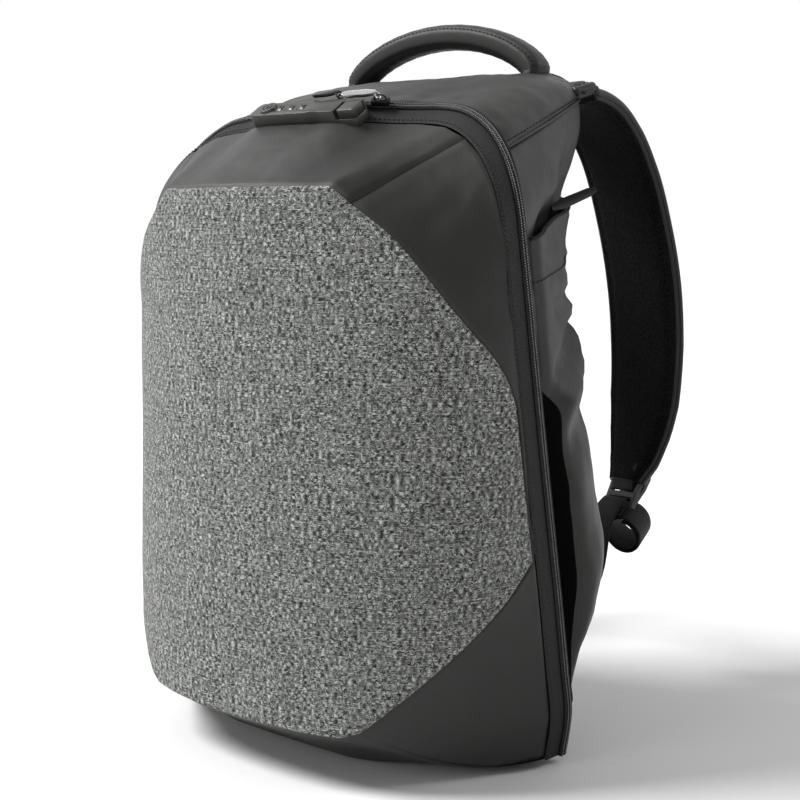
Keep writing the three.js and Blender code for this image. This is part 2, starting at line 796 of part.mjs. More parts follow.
function buckleGeometry() {
  const half = plateWidth / 2;
  const outline = new THREE.Shape();
  outline.moveTo(-half, 0);
  outline.lineTo(-half, -plateLength);
  outline.lineTo(half, -plateLength);
  outline.lineTo(half, 0);
  outline.closePath();
  for (const place of slotPlaces) {
    const slot = new THREE.Path();
    const y = -plateLength * place;
    slot.moveTo(-slotLength / 2, y - slotWidth / 2);
    slot.lineTo(slotLength / 2, y - slotWidth / 2);
    slot.lineTo(slotLength / 2, y + slotWidth / 2);
    slot.lineTo(-slotLength / 2, y + slotWidth / 2);
    slot.closePath();
    outline.holes.push(slot);
  }
  return new THREE.ExtrudeGeometry(outline, { depth: buckleThickness, bevelEnabled: false, steps: 1 });
}

function placedOnStrapEnd(geometry, along, through) {
  const upward = strapEnd.along.clone().negate();
  const frame = new THREE.Matrix4().makeBasis(strapEnd.across, upward, strapEnd.through.clone().negate());
  frame.setPosition(strapEnd.centre.clone().addScaledVector(strapEnd.along, along));
  return geometry.clone().translate(0, 0, through).applyMatrix4(frame);
}

function indexed(geometry) {
  const bare = new THREE.BufferGeometry();
  bare.setAttribute('position', geometry.getAttribute('position'));
  if (geometry.getIndex()) bare.setIndex(geometry.getIndex());
  const merged = mergeVertices(bare, 1e-3);
  merged.computeVertexNormals();
  return merged;
}

// The lever: a tapered tab that stands up along the strap's outer face.
function leverGeometry() {
  const foot = strapEnd.centre.clone()
    .addScaledVector(strapEnd.along, seamGap + plateLength * 0.9)
    .addScaledVector(strapEnd.through, buckleThickness * 0.4);
  const upward = strapEnd.along.clone().multiplyScalar(-0.9);
  const direction = upward.addScaledVector(strapEnd.through, 0.42).normalize();
  const through = strapEnd.across.clone().cross(direction);
  const shares = [[0, 0.9], [0.5, 0.72], [0.85, 0.45], [1, 0.22]];
  return solidThrough(shares.map(([along, width]) => flatLoop(
    foot.clone().addScaledVector(direction, leverLength * along),
    strapEnd.across,
    through,
    plateWidth * width,
    buckleThickness * 0.7,
  )));
}

const bucklePlate = solidOf(placedOnStrapEnd(buckleGeometry(), seamGap, -buckleThickness / 2));
bothSides('strap_buckle', geometryOf(bucklePlate.add(solidOf(leverGeometry()))), 'plastic');

// Lower webbing: out of the buckle's lower slot and down to an anchor sewn on the back's lower corner.
const slotDistance = seamGap + plateLength * slotPlaces[1];
const slotCentre = strapEnd.centre.clone().addScaledVector(strapEnd.along, slotDistance);
const webSteps = 14;
const anchorFoot = point(
  backHalfWidth * anchorStation.width,
  backReach * anchorStation.reach,
  backHeight * anchorStation.height,
);
const anchorTip = anchorFoot.clone().add(point(anchorSpread, anchorLength, anchorClimb));

function anchorGeometry() {
  const inside = anchorFoot.clone().lerp(anchorTip, -0.9);
  const sections = [inside, anchorFoot, anchorTip];
  const widths = [anchorWidth, anchorWidth, webWidth * 1.08];
  const along = anchorTip.clone().sub(inside).normalize();
  const across = point(1, 0, 0).addScaledVector(along, -along.x).normalize();
  const through = across.clone().cross(along);
  return solidThrough(sections.map((p, i) => flatLoop(p, across, through, widths[i], anchorThickness)));
}

const sideCutter = cutterBehind(sideRight, point(-2 * anchorWidth, 0, 0));
bothSides('strap_anchor', trimmed(anchorGeometry(), [backCutter, sideCutter]), 'coated');

function lowerWebGeometry() {
  const nearSlot = (through, along) => slotCentre.clone()
    .addScaledVector(strapEnd.through, through)
    .addScaledVector(strapEnd.along, along);
  const anchorLine = anchorTip.clone().sub(anchorFoot).normalize();
  const end = anchorTip.clone().addScaledVector(anchorLine, 2 * seamGap);
  const line = new THREE.CatmullRomCurve3([
    nearSlot(0.5, 0),
    nearSlot(-buckleThickness, 0),
    nearSlot(-1.9 * buckleThickness, 6),
    end.clone().addScaledVector(anchorLine, 14),
    end,
  ], false, 'centripetal');
  const acrossOf = (i) => mix(strapEnd.across, point(1, 0, 0), i / webSteps);
  return bandAlong(line.getPoints(webSteps), acrossOf, webWidth, webThickness);
}

bothSides('lower_webbing', lowerWebGeometry(), 'webbing');

// The spare webbing, rolled up and hanging from the buckle.
function webTailGeometry() {
  const centre = strapPoint(tailStation);
  const axis = point(tailAxis.x, tailAxis.y, tailAxis.z).normalize();
  const up = point(0, 0, 1).addScaledVector(axis, -axis.z).normalize();
  const side = up.clone().cross(axis);
  const stepsPerTurn = 14;
  const steps = tailTurns * stepsPerTurn;
  const points = [];
  for (let k = 0; k <= steps; k += 1) {
    const turn = (2 * Math.PI * k) / stepsPerTurn;
    const radius = tailRadius - (tailPitch * k) / stepsPerTurn;
    points.push(centre.clone()
      .addScaledVector(up, radius * Math.cos(turn) * tailStretch)
      .addScaledVector(side, radius * Math.sin(turn)));
  }
  return bandAlong(points, () => axis, webWidth, webThickness);
}

bothSides('webbing_tail', webTailGeometry(), 'webbing');

// Teeth: a raised strip along the zip's band.
const teethFrom = 0.7;
const teethTo = 0.97;

function teethGeometry() {
  const base = flapEdge.map((p, k) => [bandPoint(k, teethFrom), bandPoint(k, teethTo)]);
  const raised = (height) => base.map((row, k) => row.map((p) => (
    p.clone().addScaledVector(bandNormal(k), height)
  )));
  const bottom = raised(seamGap);
  const top = raised(seamGap + teethHeight);
  const end = (grid) => grid.slice(1, -1);
  return wallBetween(end(top), end(bottom));
}

function bandNormal(k) {
  const before = flapEdge[Math.max(k - 1, 0)];
  const after = flapEdge[Math.min(k + 1, lastStation)];
  const across = bandPoint(k, 1).sub(bandPoint(k, 0));
  return across.cross(after.clone().sub(before)).normalize();
}

// The lock lies on the band at the top, leaning towards the front.
const middleStation = lastStation / 2;
const lockSeat = bandPoint(middleStation, 0.3).add(point(lockOffset, 0, 0));
const lockFrame = new THREE.Matrix4().makeRotationX(THREE.MathUtils.degToRad(lockTilt)).setPosition(lockSeat);
const lockTop = lockHeight - lockSink;

function inLockFrame(geometry) {
  return geometry.applyMatrix4(lockFrame);
}

function boxFrom(low, high) {
  const size = [0, 1, 2].map((axis) => high[axis] - low[axis]);
  const middle = [0, 1, 2].map((axis) => (high[axis] + low[axis]) / 2);
  return new THREE.BoxGeometry(...size).translate(...middle);
}

function roundedPlate(length, depth, radius, height) {
  const x = length / 2 - radius;
  const y = depth / 2 - radius;
  const shape = new THREE.Shape();
  shape.absarc(x, y, radius, 0, Math.PI / 2);
  shape.absarc(-x, y, radius, Math.PI / 2, Math.PI);
  shape.absarc(-x, -y, radius, Math.PI, Math.PI * 1.5);
  shape.absarc(x, -y, radius, Math.PI * 1.5, Math.PI * 2);
  shape.closePath();
  return new THREE.ExtrudeGeometry(shape, { depth: height, bevelEnabled: false, curveSegments: 4 });
}

function ringAlongX(inner, outer, width, segments) {
  const side = width / 2;
  const profile = [[inner, -side], [outer, -side], [outer, side], [inner, side], [inner, -side]];
  const ring = new THREE.LatheGeometry(profile.map(([r, y]) => new THREE.Vector2(r, y)), segments);
  return ring.rotateZ(-Math.PI / 2);
}

const dialCentre = lockTop - dialRadius + dialProud;
const dialX = (i) => dialPlace + (i - (dialCount - 1) / 2) * dialPitch;
const keyTop = lockTop + keyBossHeight;
const buttonLeft = lockLength / 2 - buttonLength;
const buttonBack = lockDepth / 2 - buttonMargin;
const dialSides = 20;
const waistGap = 4; // from a dial's pitch past the last dial to the middle of the waist
const waistDepth = 1.3;

function dialGeometry(i) {
  const ring = ringAlongX(dialAxleRadius + runningGap, dialRadius, dialWidth, dialSides);
  return indexed(ring.translate(dialX(i), 0, dialCentre));
}

function lockBodySolid() {
  let body = solidOf(roundedPlate(lockLength, lockDepth, lockEnd, lockHeight).translate(0, 0, -lockSink));
  const boss = new THREE.CylinderGeometry(keyBossRadius, keyBossRadius, lockTop + keyBossHeight, 20);
  body = body.add(solidOf(boss.rotateX(Math.PI / 2).translate(keyPlace, 0, (lockTop + keyBossHeight) / 2)));
  const waist = new THREE.CylinderGeometry(lockDepth, lockDepth, 2 * lockHeight, 32).rotateX(Math.PI / 2);
  const waistX = dialX(dialCount - 1) + dialPitch + waistGap;
  for (const side of [-1, 1]) {
    const waistY = side * (1.5 * lockDepth - waistDepth);
    body = body.subtract(solidOf(waist.clone().translate(waistX, waistY, lockTop)));
  }
  for (let i = 0; i < dialCount; i += 1) {
    const wellWidth = dialWidth + 2 * dialClearance;
    const well = ringAlongX(dialAxleRadius, dialRadius + dialClearance, wellWidth, dialSides);
    body = body.subtract(solidOf(well.translate(dialX(i), 0, dialCentre)));
  }
  const boreRadius = keyCoreRadius + runningGap;
  const bore = new THREE.CylinderGeometry(boreRadius, boreRadius, 2 * keyCoreDepth, 20);
  body = body.subtract(solidOf(bore.rotateX(Math.PI / 2).translate(keyPlace, 0, keyTop)));
  const pocket = boxFrom(
    [buttonLeft - buttonTravel - runningGap, -lockDepth, lockTop - buttonHeight - runningGap],
    [lockLength, buttonBack + runningGap, lockTop + lockHeight],
  );
  return body.subtract(solidOf(pocket));
}

function lockCoreSolid() {
  const depth = keyCoreDepth - runningGap;
  const core = new THREE.CylinderGeometry(keyCoreRadius, keyCoreRadius, depth, 20);
  const solid = solidOf(core.rotateX(Math.PI / 2).translate(keyPlace, 0, keyTop - depth / 2));
  const slot = boxFrom(
    [keyPlace - keySlotWidth / 2, -keyCoreRadius * 0.7, keyTop - keyCoreDepth / 2],
    [keyPlace + keySlotWidth / 2, keyCoreRadius * 0.7, keyTop + keyCoreDepth],
  );
  return solid.subtract(solidOf(slot));
}

function lockButtonGeometry() {
  const depth = buttonBack + lockDepth / 2 - 0.6;
  const plate = roundedPlate(buttonLength, depth, 1.2, buttonHeight);
  const middle = [buttonLeft + buttonLength / 2, buttonBack - depth / 2];
  return indexed(plate.translate(...middle, lockTop - buttonHeight));
}

function lockClearance() {
  const side = lockLength / 2 + seamGap;
  const front = lockDepth / 2 + seamGap;
  return solidOf(inLockFrame(boxFrom([-side, -front, -lockSink - seamGap], [side, front, lockHeight])));
}

const lockRoom = lockClearance();
add('flap_top', trimmed(clothWallOf(skin.flapTop, clothWall), [lockRoom]), 'coated');
const grownFlaps = [skin.flapSideRight, skin.flapSideLeft].map((grid) => grownWall(grid, clothWall));
add('zip_tape', trimmed(clothWallOf(skin.tape, clothWall), [lockRoom, ...grownFlaps]), 'tape');
add('zip_teeth', trimmed(teethGeometry(), [lockRoom]), 'teeth');
add('lock_body', inLockFrame(geometryOf(lockBodySolid())), 'lockMetal');
for (let i = 0; i < dialCount; i += 1) add(`lock_dial_${i + 1}`, inLockFrame(dialGeometry(i)), 'dial');
add('lock_core', inLockFrame(geometryOf(lockCoreSolid())), 'lockMetal');
add('lock_button', inLockFrame(lockButtonGeometry()), 'lockMetal');

// Sliders on the teeth, each with a wire bridge that holds a puller's ring.
function bandFrameAt(x, share) {
  const top = flapEdge.slice(sideRows.length - 1, lastStation - sideRows.length + 2);
  let k = 0;
  while (k < top.length - 2 && top[k + 1].x > x) k += 1;
  const station = k + sideRows.length - 1;
  const t = (flapEdge[station].x - x) / (flapEdge[station].x - flapEdge[station + 1].x);
  const place = mix(bandPoint(station, share), bandPoint(station + 1, share), t);
  const along = bandPoint(station, share).sub(bandPoint(station + 1, share)).normalize();
  const normal = mix(bandNormal(station), bandNormal(station + 1), t).normalize();
  const across = normal.clone().cross(along).normalize();
  return new THREE.Matrix4().makeBasis(along, across, along.clone().cross(across)).setPosition(place);
}

function wireArch(span, height, wire) {
  const line = new THREE.CatmullRomCurve3([
    point(-span / 2, 0, -wire / 2), point(-span / 2, 0, height * 0.6), point(-span / 4, 0, height),
    point(span / 4, 0, height), point(span / 2, 0, height * 0.6), point(span / 2, 0, -wire / 2),
  ]);
  const section = new THREE.Shape();
  section.absarc(0, 0, wire / 2, 0, Math.PI * 2);
  const options = { steps: 10, extrudePath: line, curveSegments: 4, bevelEnabled: false };
  return new THREE.ExtrudeGeometry(section, options);
}

const sliderFloor = seamGap + teethHeight + runningGap;

function sliderSolid() {
  const plate = roundedPlate(sliderLength, sliderWidth, sliderCorner, sliderHeight);
  const arch = wireArch(sliderLength * 0.6, bridgeHeight, bridgeWire);
  const body = solidOf(plate.translate(0, 0, sliderFloor));
  return body.add(solidOf(arch.translate(0, 0, sliderFloor + sliderHeight)));
}

// A puller: a tilted ring through the bridge and a tapered tab that slopes down to the lock's top.
const ringRise = THREE.MathUtils.degToRad(ringTilt);
const hookHeight = sliderFloor + sliderHeight + runningGap + ringWire;
const tabEnd = point(-2 * ringRadius * Math.cos(ringRise), 0, 2 * ringRadius * Math.sin(ringRise));
const pullerRest = lockTop + runningGap + pullerThickness / 2;
const tabSlope = Math.asin((hookHeight + tabEnd.z - pullerRest) / pullerLength);
const tabOutline = [
  { along: -0.03, width: 0.5 },
  { along: 0.25, width: 1 },
  { along: 0.85, width: 0.84 },
  { along: 1, width: 0.4 },
];

function tabShape(length, width) {
  const upper = tabOutline.map((row) => new THREE.Vector2(-length * row.along, (width * row.width) / 2));
  const lower = upper.map((p) => new THREE.Vector2(p.x, -p.y)).reverse();
  return new THREE.Shape([...upper, ...lower]);
}

function pullerSolid() {
  const ring = new THREE.TorusGeometry(ringRadius, ringWire, 6, 16).translate(-ringRadius, 0, 0);
  const options = { depth: pullerThickness, bevelEnabled: false };
  const tab = new THREE.ExtrudeGeometry(tabShape(pullerLength, pullerWidth), options);
  tab.translate(0, 0, -pullerThickness / 2).rotateY(-tabSlope).translate(tabEnd.x, tabEnd.y, tabEnd.z);
  return solidOf(ring.rotateY(ringRise)).add(solidOf(tab));
}

const pullers = [
  { name: 'near', place: sliderPlace, turn: 3, finish: 'chrome' },
  { name: 'far', place: sliderPlace - sliderPitch, turn: -3, finish: 'gunmetal' },
];
for (const { name, place, turn, finish } of pullers) {
  const frame = bandFrameAt(place, (teethFrom + teethTo) / 2);
  add(`slider_${name}`, geometryOf(sliderSolid()).applyMatrix4(frame), 'gunmetal');
  const puller = geometryOf(pullerSolid()).rotateZ(THREE.MathUtils.degToRad(turn));
  add(`puller_${name}`, puller.translate(0, 0, hookHeight).applyMatrix4(frame), finish);
}

// Pullers of the side pockets' zips: each stands off its wall just above the pocket's mouth.
const pocketPullerStation = pocketLast;
const pocketPullerColumn = 4;

function pocketPullerGeometry() {
  const seat = skin.wall[pocketPullerStation][pocketPullerColumn];
  const rise = THREE.MathUtils.degToRad(pocketPullerTurn);
  const splay = THREE.MathUtils.degToRad(pocketPullerSplay);
  const level = Math.cos(rise);
  const direction = point(Math.sin(splay) * level, Math.cos(splay) * level, Math.sin(rise));
  const across = point(0, 0, 1).addScaledVector(direction, -direction.z).normalize();
  const through = across.clone().cross(direction);
  const start = seat.clone().addScaledVector(normalAt(seat), seamGap + pullerThickness / 2);
  start.z += pocketPullerLift;
  return solidThrough(tabOutline.map((row) => flatLoop(
    start.clone().addScaledVector(direction, pocketPullerLength * Math.max(row.along, 0)),
    across,
    through,
    pocketPullerWidth * row.width,
    pullerThickness,
  )));
}

bothSides('pocket_puller', trimmed(pocketPullerGeometry(), [sideCutter]), 'gunmetal');

export default group;
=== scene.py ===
# A slim backpack with a melange front panel, dark coated cloth, an over-the-top zip and a combination lock.
import math

import bmesh
import bpy
import numpy as np
from mathutils import Matrix, Vector, noise


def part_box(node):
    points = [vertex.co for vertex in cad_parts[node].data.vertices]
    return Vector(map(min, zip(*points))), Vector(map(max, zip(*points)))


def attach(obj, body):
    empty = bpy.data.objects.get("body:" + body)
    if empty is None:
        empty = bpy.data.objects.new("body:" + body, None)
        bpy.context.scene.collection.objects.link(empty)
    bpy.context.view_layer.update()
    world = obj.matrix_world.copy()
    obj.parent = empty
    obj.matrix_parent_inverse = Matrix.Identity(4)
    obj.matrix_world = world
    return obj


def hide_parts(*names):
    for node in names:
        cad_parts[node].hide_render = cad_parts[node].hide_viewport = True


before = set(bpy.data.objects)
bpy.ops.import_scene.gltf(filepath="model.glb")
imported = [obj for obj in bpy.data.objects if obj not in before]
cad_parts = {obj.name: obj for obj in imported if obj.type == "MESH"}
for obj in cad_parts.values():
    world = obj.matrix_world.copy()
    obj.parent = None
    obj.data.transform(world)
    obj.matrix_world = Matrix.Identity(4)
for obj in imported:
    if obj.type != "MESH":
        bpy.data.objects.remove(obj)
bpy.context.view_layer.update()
MM = 0.001

# Driving sizes of the bag, in millimetres
ZIP_HEIGHT = 413
FLAP_HALF_WIDTH = 166
FLAP_REACH = 140
ZIP_BASE_SETBACK = 11
ZIP_LEAN = 59
ZIP_CORNER_RADIUS = 74
ZIP_CORNER_SETBACK = 25
BACK_HEIGHT = 454
BACK_HALF_WIDTH = 126
BACK_REACH = 98
TOP_CROWN = 2
ZIP_BAND = 20
ZIP_FLARE = 1
ZIP_RISE = 12
TEETH_PLACE = 0.835
TEETH_WIDTH = 6.2
POCKET_PUFF = 15
HEM_SAG = 13
FLAT_SHARE = 0.4
PANEL_STEP = 0.9
LOCK_TILT = math.radians(33)

# Camera of the photograph
CAMERA_EYE = Vector((0.6398, -0.7404, 0.3570))
CAMERA_AZIMUTH = math.radians(39.6)
CAMERA_ELEVATION = math.radians(7.6)
CAMERA_LENS = 63.1

# Sections and outlines of the bag, in shares of its sizes
FLAP_SECTIONS = {
    "height": [0.0, 0.05, 0.12, 0.28, 0.42, 0.55, 0.71, 0.88, 1.0],
    "width": [0.94, 1.0, 1.0, 0.99, 0.976, 0.964, 0.952, 0.94, 0.94],
    "reach": [1.0, 1.0, 1.0, 0.993, 0.986, 0.98, 0.96, 0.935, 0.92],
    "roundness": [2.2, 2.2, 2.2, 2.12, 2.0, 1.9, 1.8, 1.8, 1.8],
}
PANEL_CUT = {
    "height": [0.087, 0.1, 0.122, 0.345, 0.581, 0.627, 0.717, 0.775, 0.826, 0.879, 0.903],
    "girth": [0.36, 0.424, 0.475, 0.986, 0.986, 0.953, 0.811, 0.72, 0.63, 0.478, 0.41],
    "rows": [1, 1, 4, 3, 1, 1, 1, 1, 1, 1, 1],
}
PANEL_COLUMNS = 12
PANEL_CORNER_ROWS = (2, 6, 9)
CREASE_ROW = 14
HEM_ROW = 1
SIDE_ROWS = {
    "zip": [0.014, 0.09, 0.16, 0.225, 0.285, 0.345, 0.43, 0.53, 0.66, 0.82],
    "height": [0.092, 0.142, 0.197, 0.251, 0.302, 0.358, 0.44, 0.54, 0.663, 0.815],
    "width": [0.86, 0.9, 0.94, 0.98, 0.99, 0.96, 0.91, 0.85, 0.79, 0.8],
    "reach": [0.66, 0.69, 0.715, 0.74, 0.76, 0.775, 0.795, 0.815, 0.843, 0.875],
    "bulge": [0.1, 0.12, 0.25, 0.4, 0.4, 0.4, 0.35, 0.25, 0.1, 0.1],
}
BACK_CORNER = {
    "height": [0.865, 0.915, 0.955, 0.98, 0.992, 1.0],
    "width": [0.86, 0.9, 0.885, 0.83, 0.74, 0.62],
    "reach": [0.89, 0.91, 0.93, 0.95, 0.97, 0.985],
}
STRAIGHT = len(SIDE_ROWS["zip"])
CORNER_STEPS = len(BACK_CORNER["height"])
TOP_STEPS = 10
CREASE_STATION = STRAIGHT - 1 + 4
LAST_STATION = 2 * (STRAIGHT - 1 + CORNER_STEPS) + TOP_STEPS
SEAM_STATION = 12
SIDE_COLUMNS = [0, 0.07, 0.22, 0.4, 0.58, 0.76, 0.92, 1]
UNDERSIDE_FRONT = [1, 0.5] + [0] * 12
UNDERSIDE_REAR = [0] * 11 + [0.15, 0.6, 1]
FLAP_COLUMNS = 4
CORNER_COLUMNS = [0, -1]

# Folds of the side walls, as lines from front to back. Places are shares of BACK_REACH and ZIP_HEIGHT,
# the rest is in millimetres.
SIDE_FOLDS = {
    "front_y": [0.02, 0.0, 0.05, 0.1, 0.0, 0.2, -0.05, 0.1],
    "front_z": [0.575, 0.62, 0.72, 0.76, 0.83, 0.9, 0.5, 0.3],
    "back_y": [0.62, 0.6, 0.6, 0.6, 0.5, 0.7, 0.5, 0.6],
    "back_z": [0.655, 0.7, 0.76, 0.68, 0.93, 0.86, 0.56, 0.36],
    "depth": [5.5, -6.0, -5.0, 4.0, -5.0, 3.6, -3.0, 2.0],
    "width": [11, 10, 9, 10, 13, 12, 14, 18],
}
GROOVE_DEPTH = 14
GROOVE_PLACE = 9
GROOVE_WIDTH = 8.5
# Reach, top and rounding of the near-black painted shade in the tuck beside the zip, in millimetres
GROOVE_SHADE_REACH = 25
GROOVE_SHADE_TOP = 262
GROOVE_SHADE_ROUND = 34
PAD_DEPTH = 6.5
PAD_CHANNELS = (130, 205, 280, 355)
POCKET_STAND = 2.7
STRAP_SPREAD = 95
STRAP_REACH = 221
STRAP_WIDTH = 74
STRAP_THICKNESS = 13
STRAP_ROWS = {
    "out": [0.84, 0.87, 0.89, 0.91, 0.94, 0.98, 1.02, 1.03, 1.02, 1.0, 0.985, 0.97],
    "back": [0.42, 0.5, 0.6, 0.71, 0.81, 0.895, 0.94, 0.965, 0.965, 0.955, 0.93, 0.9],
    "height": [0.965, 0.97, 0.962, 0.93, 0.87, 0.77, 0.67, 0.57, 0.47, 0.41, 0.36, 0.33],
    "width": [0.88, 0.94, 1.0, 1.02, 1.02, 1.02, 1.02, 1.0, 0.96, 0.86, 0.7, 0.52],
    "twist": [0, 4, 9, 13, 15, 15, 15, 15, 16, 18, 20, 22],
}
TAIL_RADIUS = 15.5
TAIL_STRETCH = 1.2
TAIL_PITCH = 3.2
WEB_WIDTH = 25
WEB_THICKNESS = 1.6
BUCKLE_THICKNESS = 4
HANDLE_HALF_SPAN = 80
HANDLE_SETBACK = 84
HANDLE_RISE = 28.5
HANDLE_FULLNESS = 1.4
HANDLE_HALF_WIDTH = 11.5
HANDLE_HALF_THICKNESS = 9
HANDLE_SINK = 9
HANDLE_LEAN = 5
ANCHOR_WIDTH = 38
ANCHOR_TIP_WIDTH = 27
ANCHOR_HALF_THICKNESS = 2.1
COIL_HEIGHT = 1.75
COIL_RIB = 0.6
COIL_PITCH = 1.5
FIGURE_SIZE = 3.4

# The short webbing at each strap's end, as places along the strap and through it, in millimetres
END_WEB_PATH = {
    "along": [-16, -8, -1, 3, 6.2, 6.6, 3, -1, -8, -16],
    "through": [5.2, 5.4, 4.6, 3.2, 1.2, -1.5, -3.4, -4.8, -5.6, -5.4],
}


def vec(x, y, z):
    return np.array([x, y, z], float)


def mirrored(points):
    return points * np.array([-1.0, 1.0, 1.0])


SIDES = (("right", lambda points: points), ("left", mirrored))


def unit(vectors):
    return vectors / (np.linalg.norm(vectors, axis=-1, keepdims=True) + 1e-12)


def lengths_along(points, axis=0):
    """Running length of a line, or of each line of a grid along the axis, from zero."""
    steps = np.linalg.norm(np.diff(points, axis=axis), axis=-1)
    return np.concatenate([np.zeros_like(np.take(steps, [0], axis)), np.cumsum(steps, axis)], axis)


def smoothstep(x, low, high):
    t = np.clip((x - low) / (high - low), 0, 1)
    return t * t * (3 - 2 * t)


# Surface of the bag, as grids of points
def flap_edge_y(z):
    return -ZIP_BASE_SETBACK - ZIP_LEAN * (z / ZIP_HEIGHT)


def flap_point(turn, z):
    heights = FLAP_SECTIONS["height"]
    value = {key: np.interp(z / ZIP_HEIGHT, heights, column) for key, column in FLAP_SECTIONS.items()}
    power = 2 / value["roundness"]
    edge = flap_edge_y(z)
    x = FLAP_HALF_WIDTH * value["width"] * np.abs(np.sin(turn)) ** power
    y = edge - (edge + FLAP_REACH * value["reach"]) * np.abs(np.cos(turn)) ** power
    return vec(x, y, z)


def points_at(places, lengths, points):
    """Points of a line at places along it, where the line's own points lie at the lengths."""
    return np.stack([np.interp(places, lengths, points[:, k]) for k in range(3)], -1)


def girth_row(z, share, columns):
    fine = np.array([flap_point(math.pi / 2 * i / 90, z) for i in range(91)])
    lengths = lengths_along(fine)
    places = 1 - 2 * np.arange(columns + 1) / columns
    row = points_at(np.abs(places) * share * lengths[-1], lengths, fine)
    row[places < 0, 0] *= -1
    return row


def panel_grid():
    places = [i + k / count for i, count in enumerate(PANEL_CUT["rows"]) for k in range(count)]
    steps = np.arange(len(PANEL_CUT["rows"]))
    heights, shares = (np.interp(places, steps, PANEL_CUT[key]) for key in ("height", "girth"))
    return np.array([girth_row(ZIP_HEIGHT * h, share, PANEL_COLUMNS) for h, share in zip(heights, shares)])


def with_top_and_left(right, crown, bow):
    end = right[-1]
    top = []
    for k in range(1, TOP_STEPS):
        place = 1 - 2 * k / TOP_STEPS
        middle = 1 - smoothstep(abs(place), 0.35, 1)
        top.append(vec(end[0] * place, end[1] - bow * middle, end[2] + crown * middle))
    return np.array([*right, *top, *[mirrored(p) for p in reversed(right)]])


def flap_edge_right():
    centre_z = ZIP_HEIGHT - ZIP_CORNER_RADIUS
    centre_x = flap_point(math.pi / 2, centre_z)[0] - ZIP_CORNER_RADIUS
    stations = [flap_point(math.pi / 2, ZIP_HEIGHT * share) for share in SIDE_ROWS["zip"]]
    for k in range(1, CORNER_STEPS + 1):
        turn = math.pi / 2 * k / CORNER_STEPS
        z = centre_z + ZIP_CORNER_RADIUS * math.sin(turn)
        setback = ZIP_CORNER_SETBACK * math.sin(turn) ** 2
        stations.append(vec(centre_x + ZIP_CORNER_RADIUS * math.cos(turn), flap_edge_y(z) + setback, z))
    return stations


def outward_along(loop, k):
    before, after = loop[max(k - 1, 0)], loop[min(k + 1, len(loop) - 1)]
    return unit(vec(after[2] - before[2], 0, before[0] - after[0]))


PANEL = panel_grid()
PANEL_ROWS = len(PANEL) - 1
FLAP_EDGE = with_top_and_left(flap_edge_right(), TOP_CROWN, ZIP_CORNER_SETBACK)


def band_point(k, share):
    outward = outward_along(FLAP_EDGE, k)
    flare = ZIP_FLARE + (ZIP_RISE - ZIP_FLARE) * outward[2] ** 2
    return FLAP_EDGE[k] + vec(0, ZIP_BAND * share, 0) + outward * flare * share


def band_line(share):
    return np.array([band_point(k, share) for k in range(LAST_STATION + 1)])


def flap_side_grid():
    t = np.linspace(0, 1, FLAP_COLUMNS + 1)[:, None]
    stations = range(CREASE_STATION + 1)
    grid = np.array([PANEL[HEM_ROW + k][0] * (1 - t) + FLAP_EDGE[k] * t for k in stations])
    for k, share in enumerate((1, 0.35, 0.1)):
        grid[k, :, 2] -= HEM_SAG * share * (4 * t * (1 - t))[:, 0]
    return grid


def flap_top_grid():
    right = [PANEL[i][0] for i in range(CREASE_ROW, PANEL_ROWS)]
    left = [PANEL[i][PANEL_COLUMNS] for i in reversed(range(CREASE_ROW, PANEL_ROWS))]
    inner = [*right, *PANEL[PANEL_ROWS], *left]
    shares = np.linspace(0, 1, FLAP_COLUMNS + 1)
    outer = FLAP_EDGE[CREASE_STATION:]
    return np.array([[p * (1 - t) + q * t for t in shares] for p, q in zip(inner, outer)])


def back_outline():
    right = [vec(BACK_HALF_WIDTH * w, BACK_REACH * r, BACK_HEIGHT * h)
             for rows in (SIDE_ROWS, BACK_CORNER)
             for h, w, r in zip(rows["height"], rows["width"], rows["reach"])]
    return with_top_and_left(right, 0, 0)


BACK = back_outline()


def wall_grid():
    grid = []
    for k in range(LAST_STATION + 1):
        outward = outward_along(BACK, k)
        side = min(k, LAST_STATION - k)
        bulge = SIDE_ROWS["bulge"][side] if side < STRAIGHT else 0.4
        start = band_point(k, 1)
        grid.append([start * (1 - t) + BACK[k] * t + outward * POCKET_PUFF * bulge * 4 * t * (1 - t)
                     for t in SIDE_COLUMNS])
    return np.array(grid)


WALL = wall_grid()


def underside_grid(flap_side):
    ends = [*flap_side[0], band_point(0, 0.5), *WALL[0]]
    lower = [PANEL[1][0], *PANEL[0], PANEL[1][PANEL_COLUMNS]]
    across = len(lower) - 1
    grid = []
    for i, end in enumerate(ends):
        forward = max(1 - i / FLAP_COLUMNS, 0)
        middle = UNDERSIDE_FRONT[i] * PANEL[0][0][2] + UNDERSIDE_REAR[i] * BACK[0][2]
        row = []
        for j, p in enumerate(lower):
            place = abs(1 - 2 * j / across)
            rise = smoothstep(place, FLAT_SHARE, 1)
            if i == 0:
                row.append(p)
            elif j in (0, across):
                row.append(end if j == 0 else mirrored(end))
            elif i == len(ends) - 1:
                row.append(vec(end[0] * (1 - 2 * j / across), end[1], end[2]))
            else:
                bow = (p[1] - lower[0][1]) * forward * (1 - rise)
                side = np.sign(p[0]) * place
                row.append(vec(end[0] * side, end[1] + bow, middle + (end[2] - middle) * rise))
        grid.append(row)
    return np.array(grid)


def back_grid():
    top = BACK[CREASE_STATION:LAST_STATION - CREASE_STATION + 1]
    across = len(top) - 1
    rows = [[vec(x * (1 - 2 * j / across), y, z) for j in range(across + 1)]
            for x, y, z in BACK[:CREASE_STATION]]
    return np.array([*rows, top])


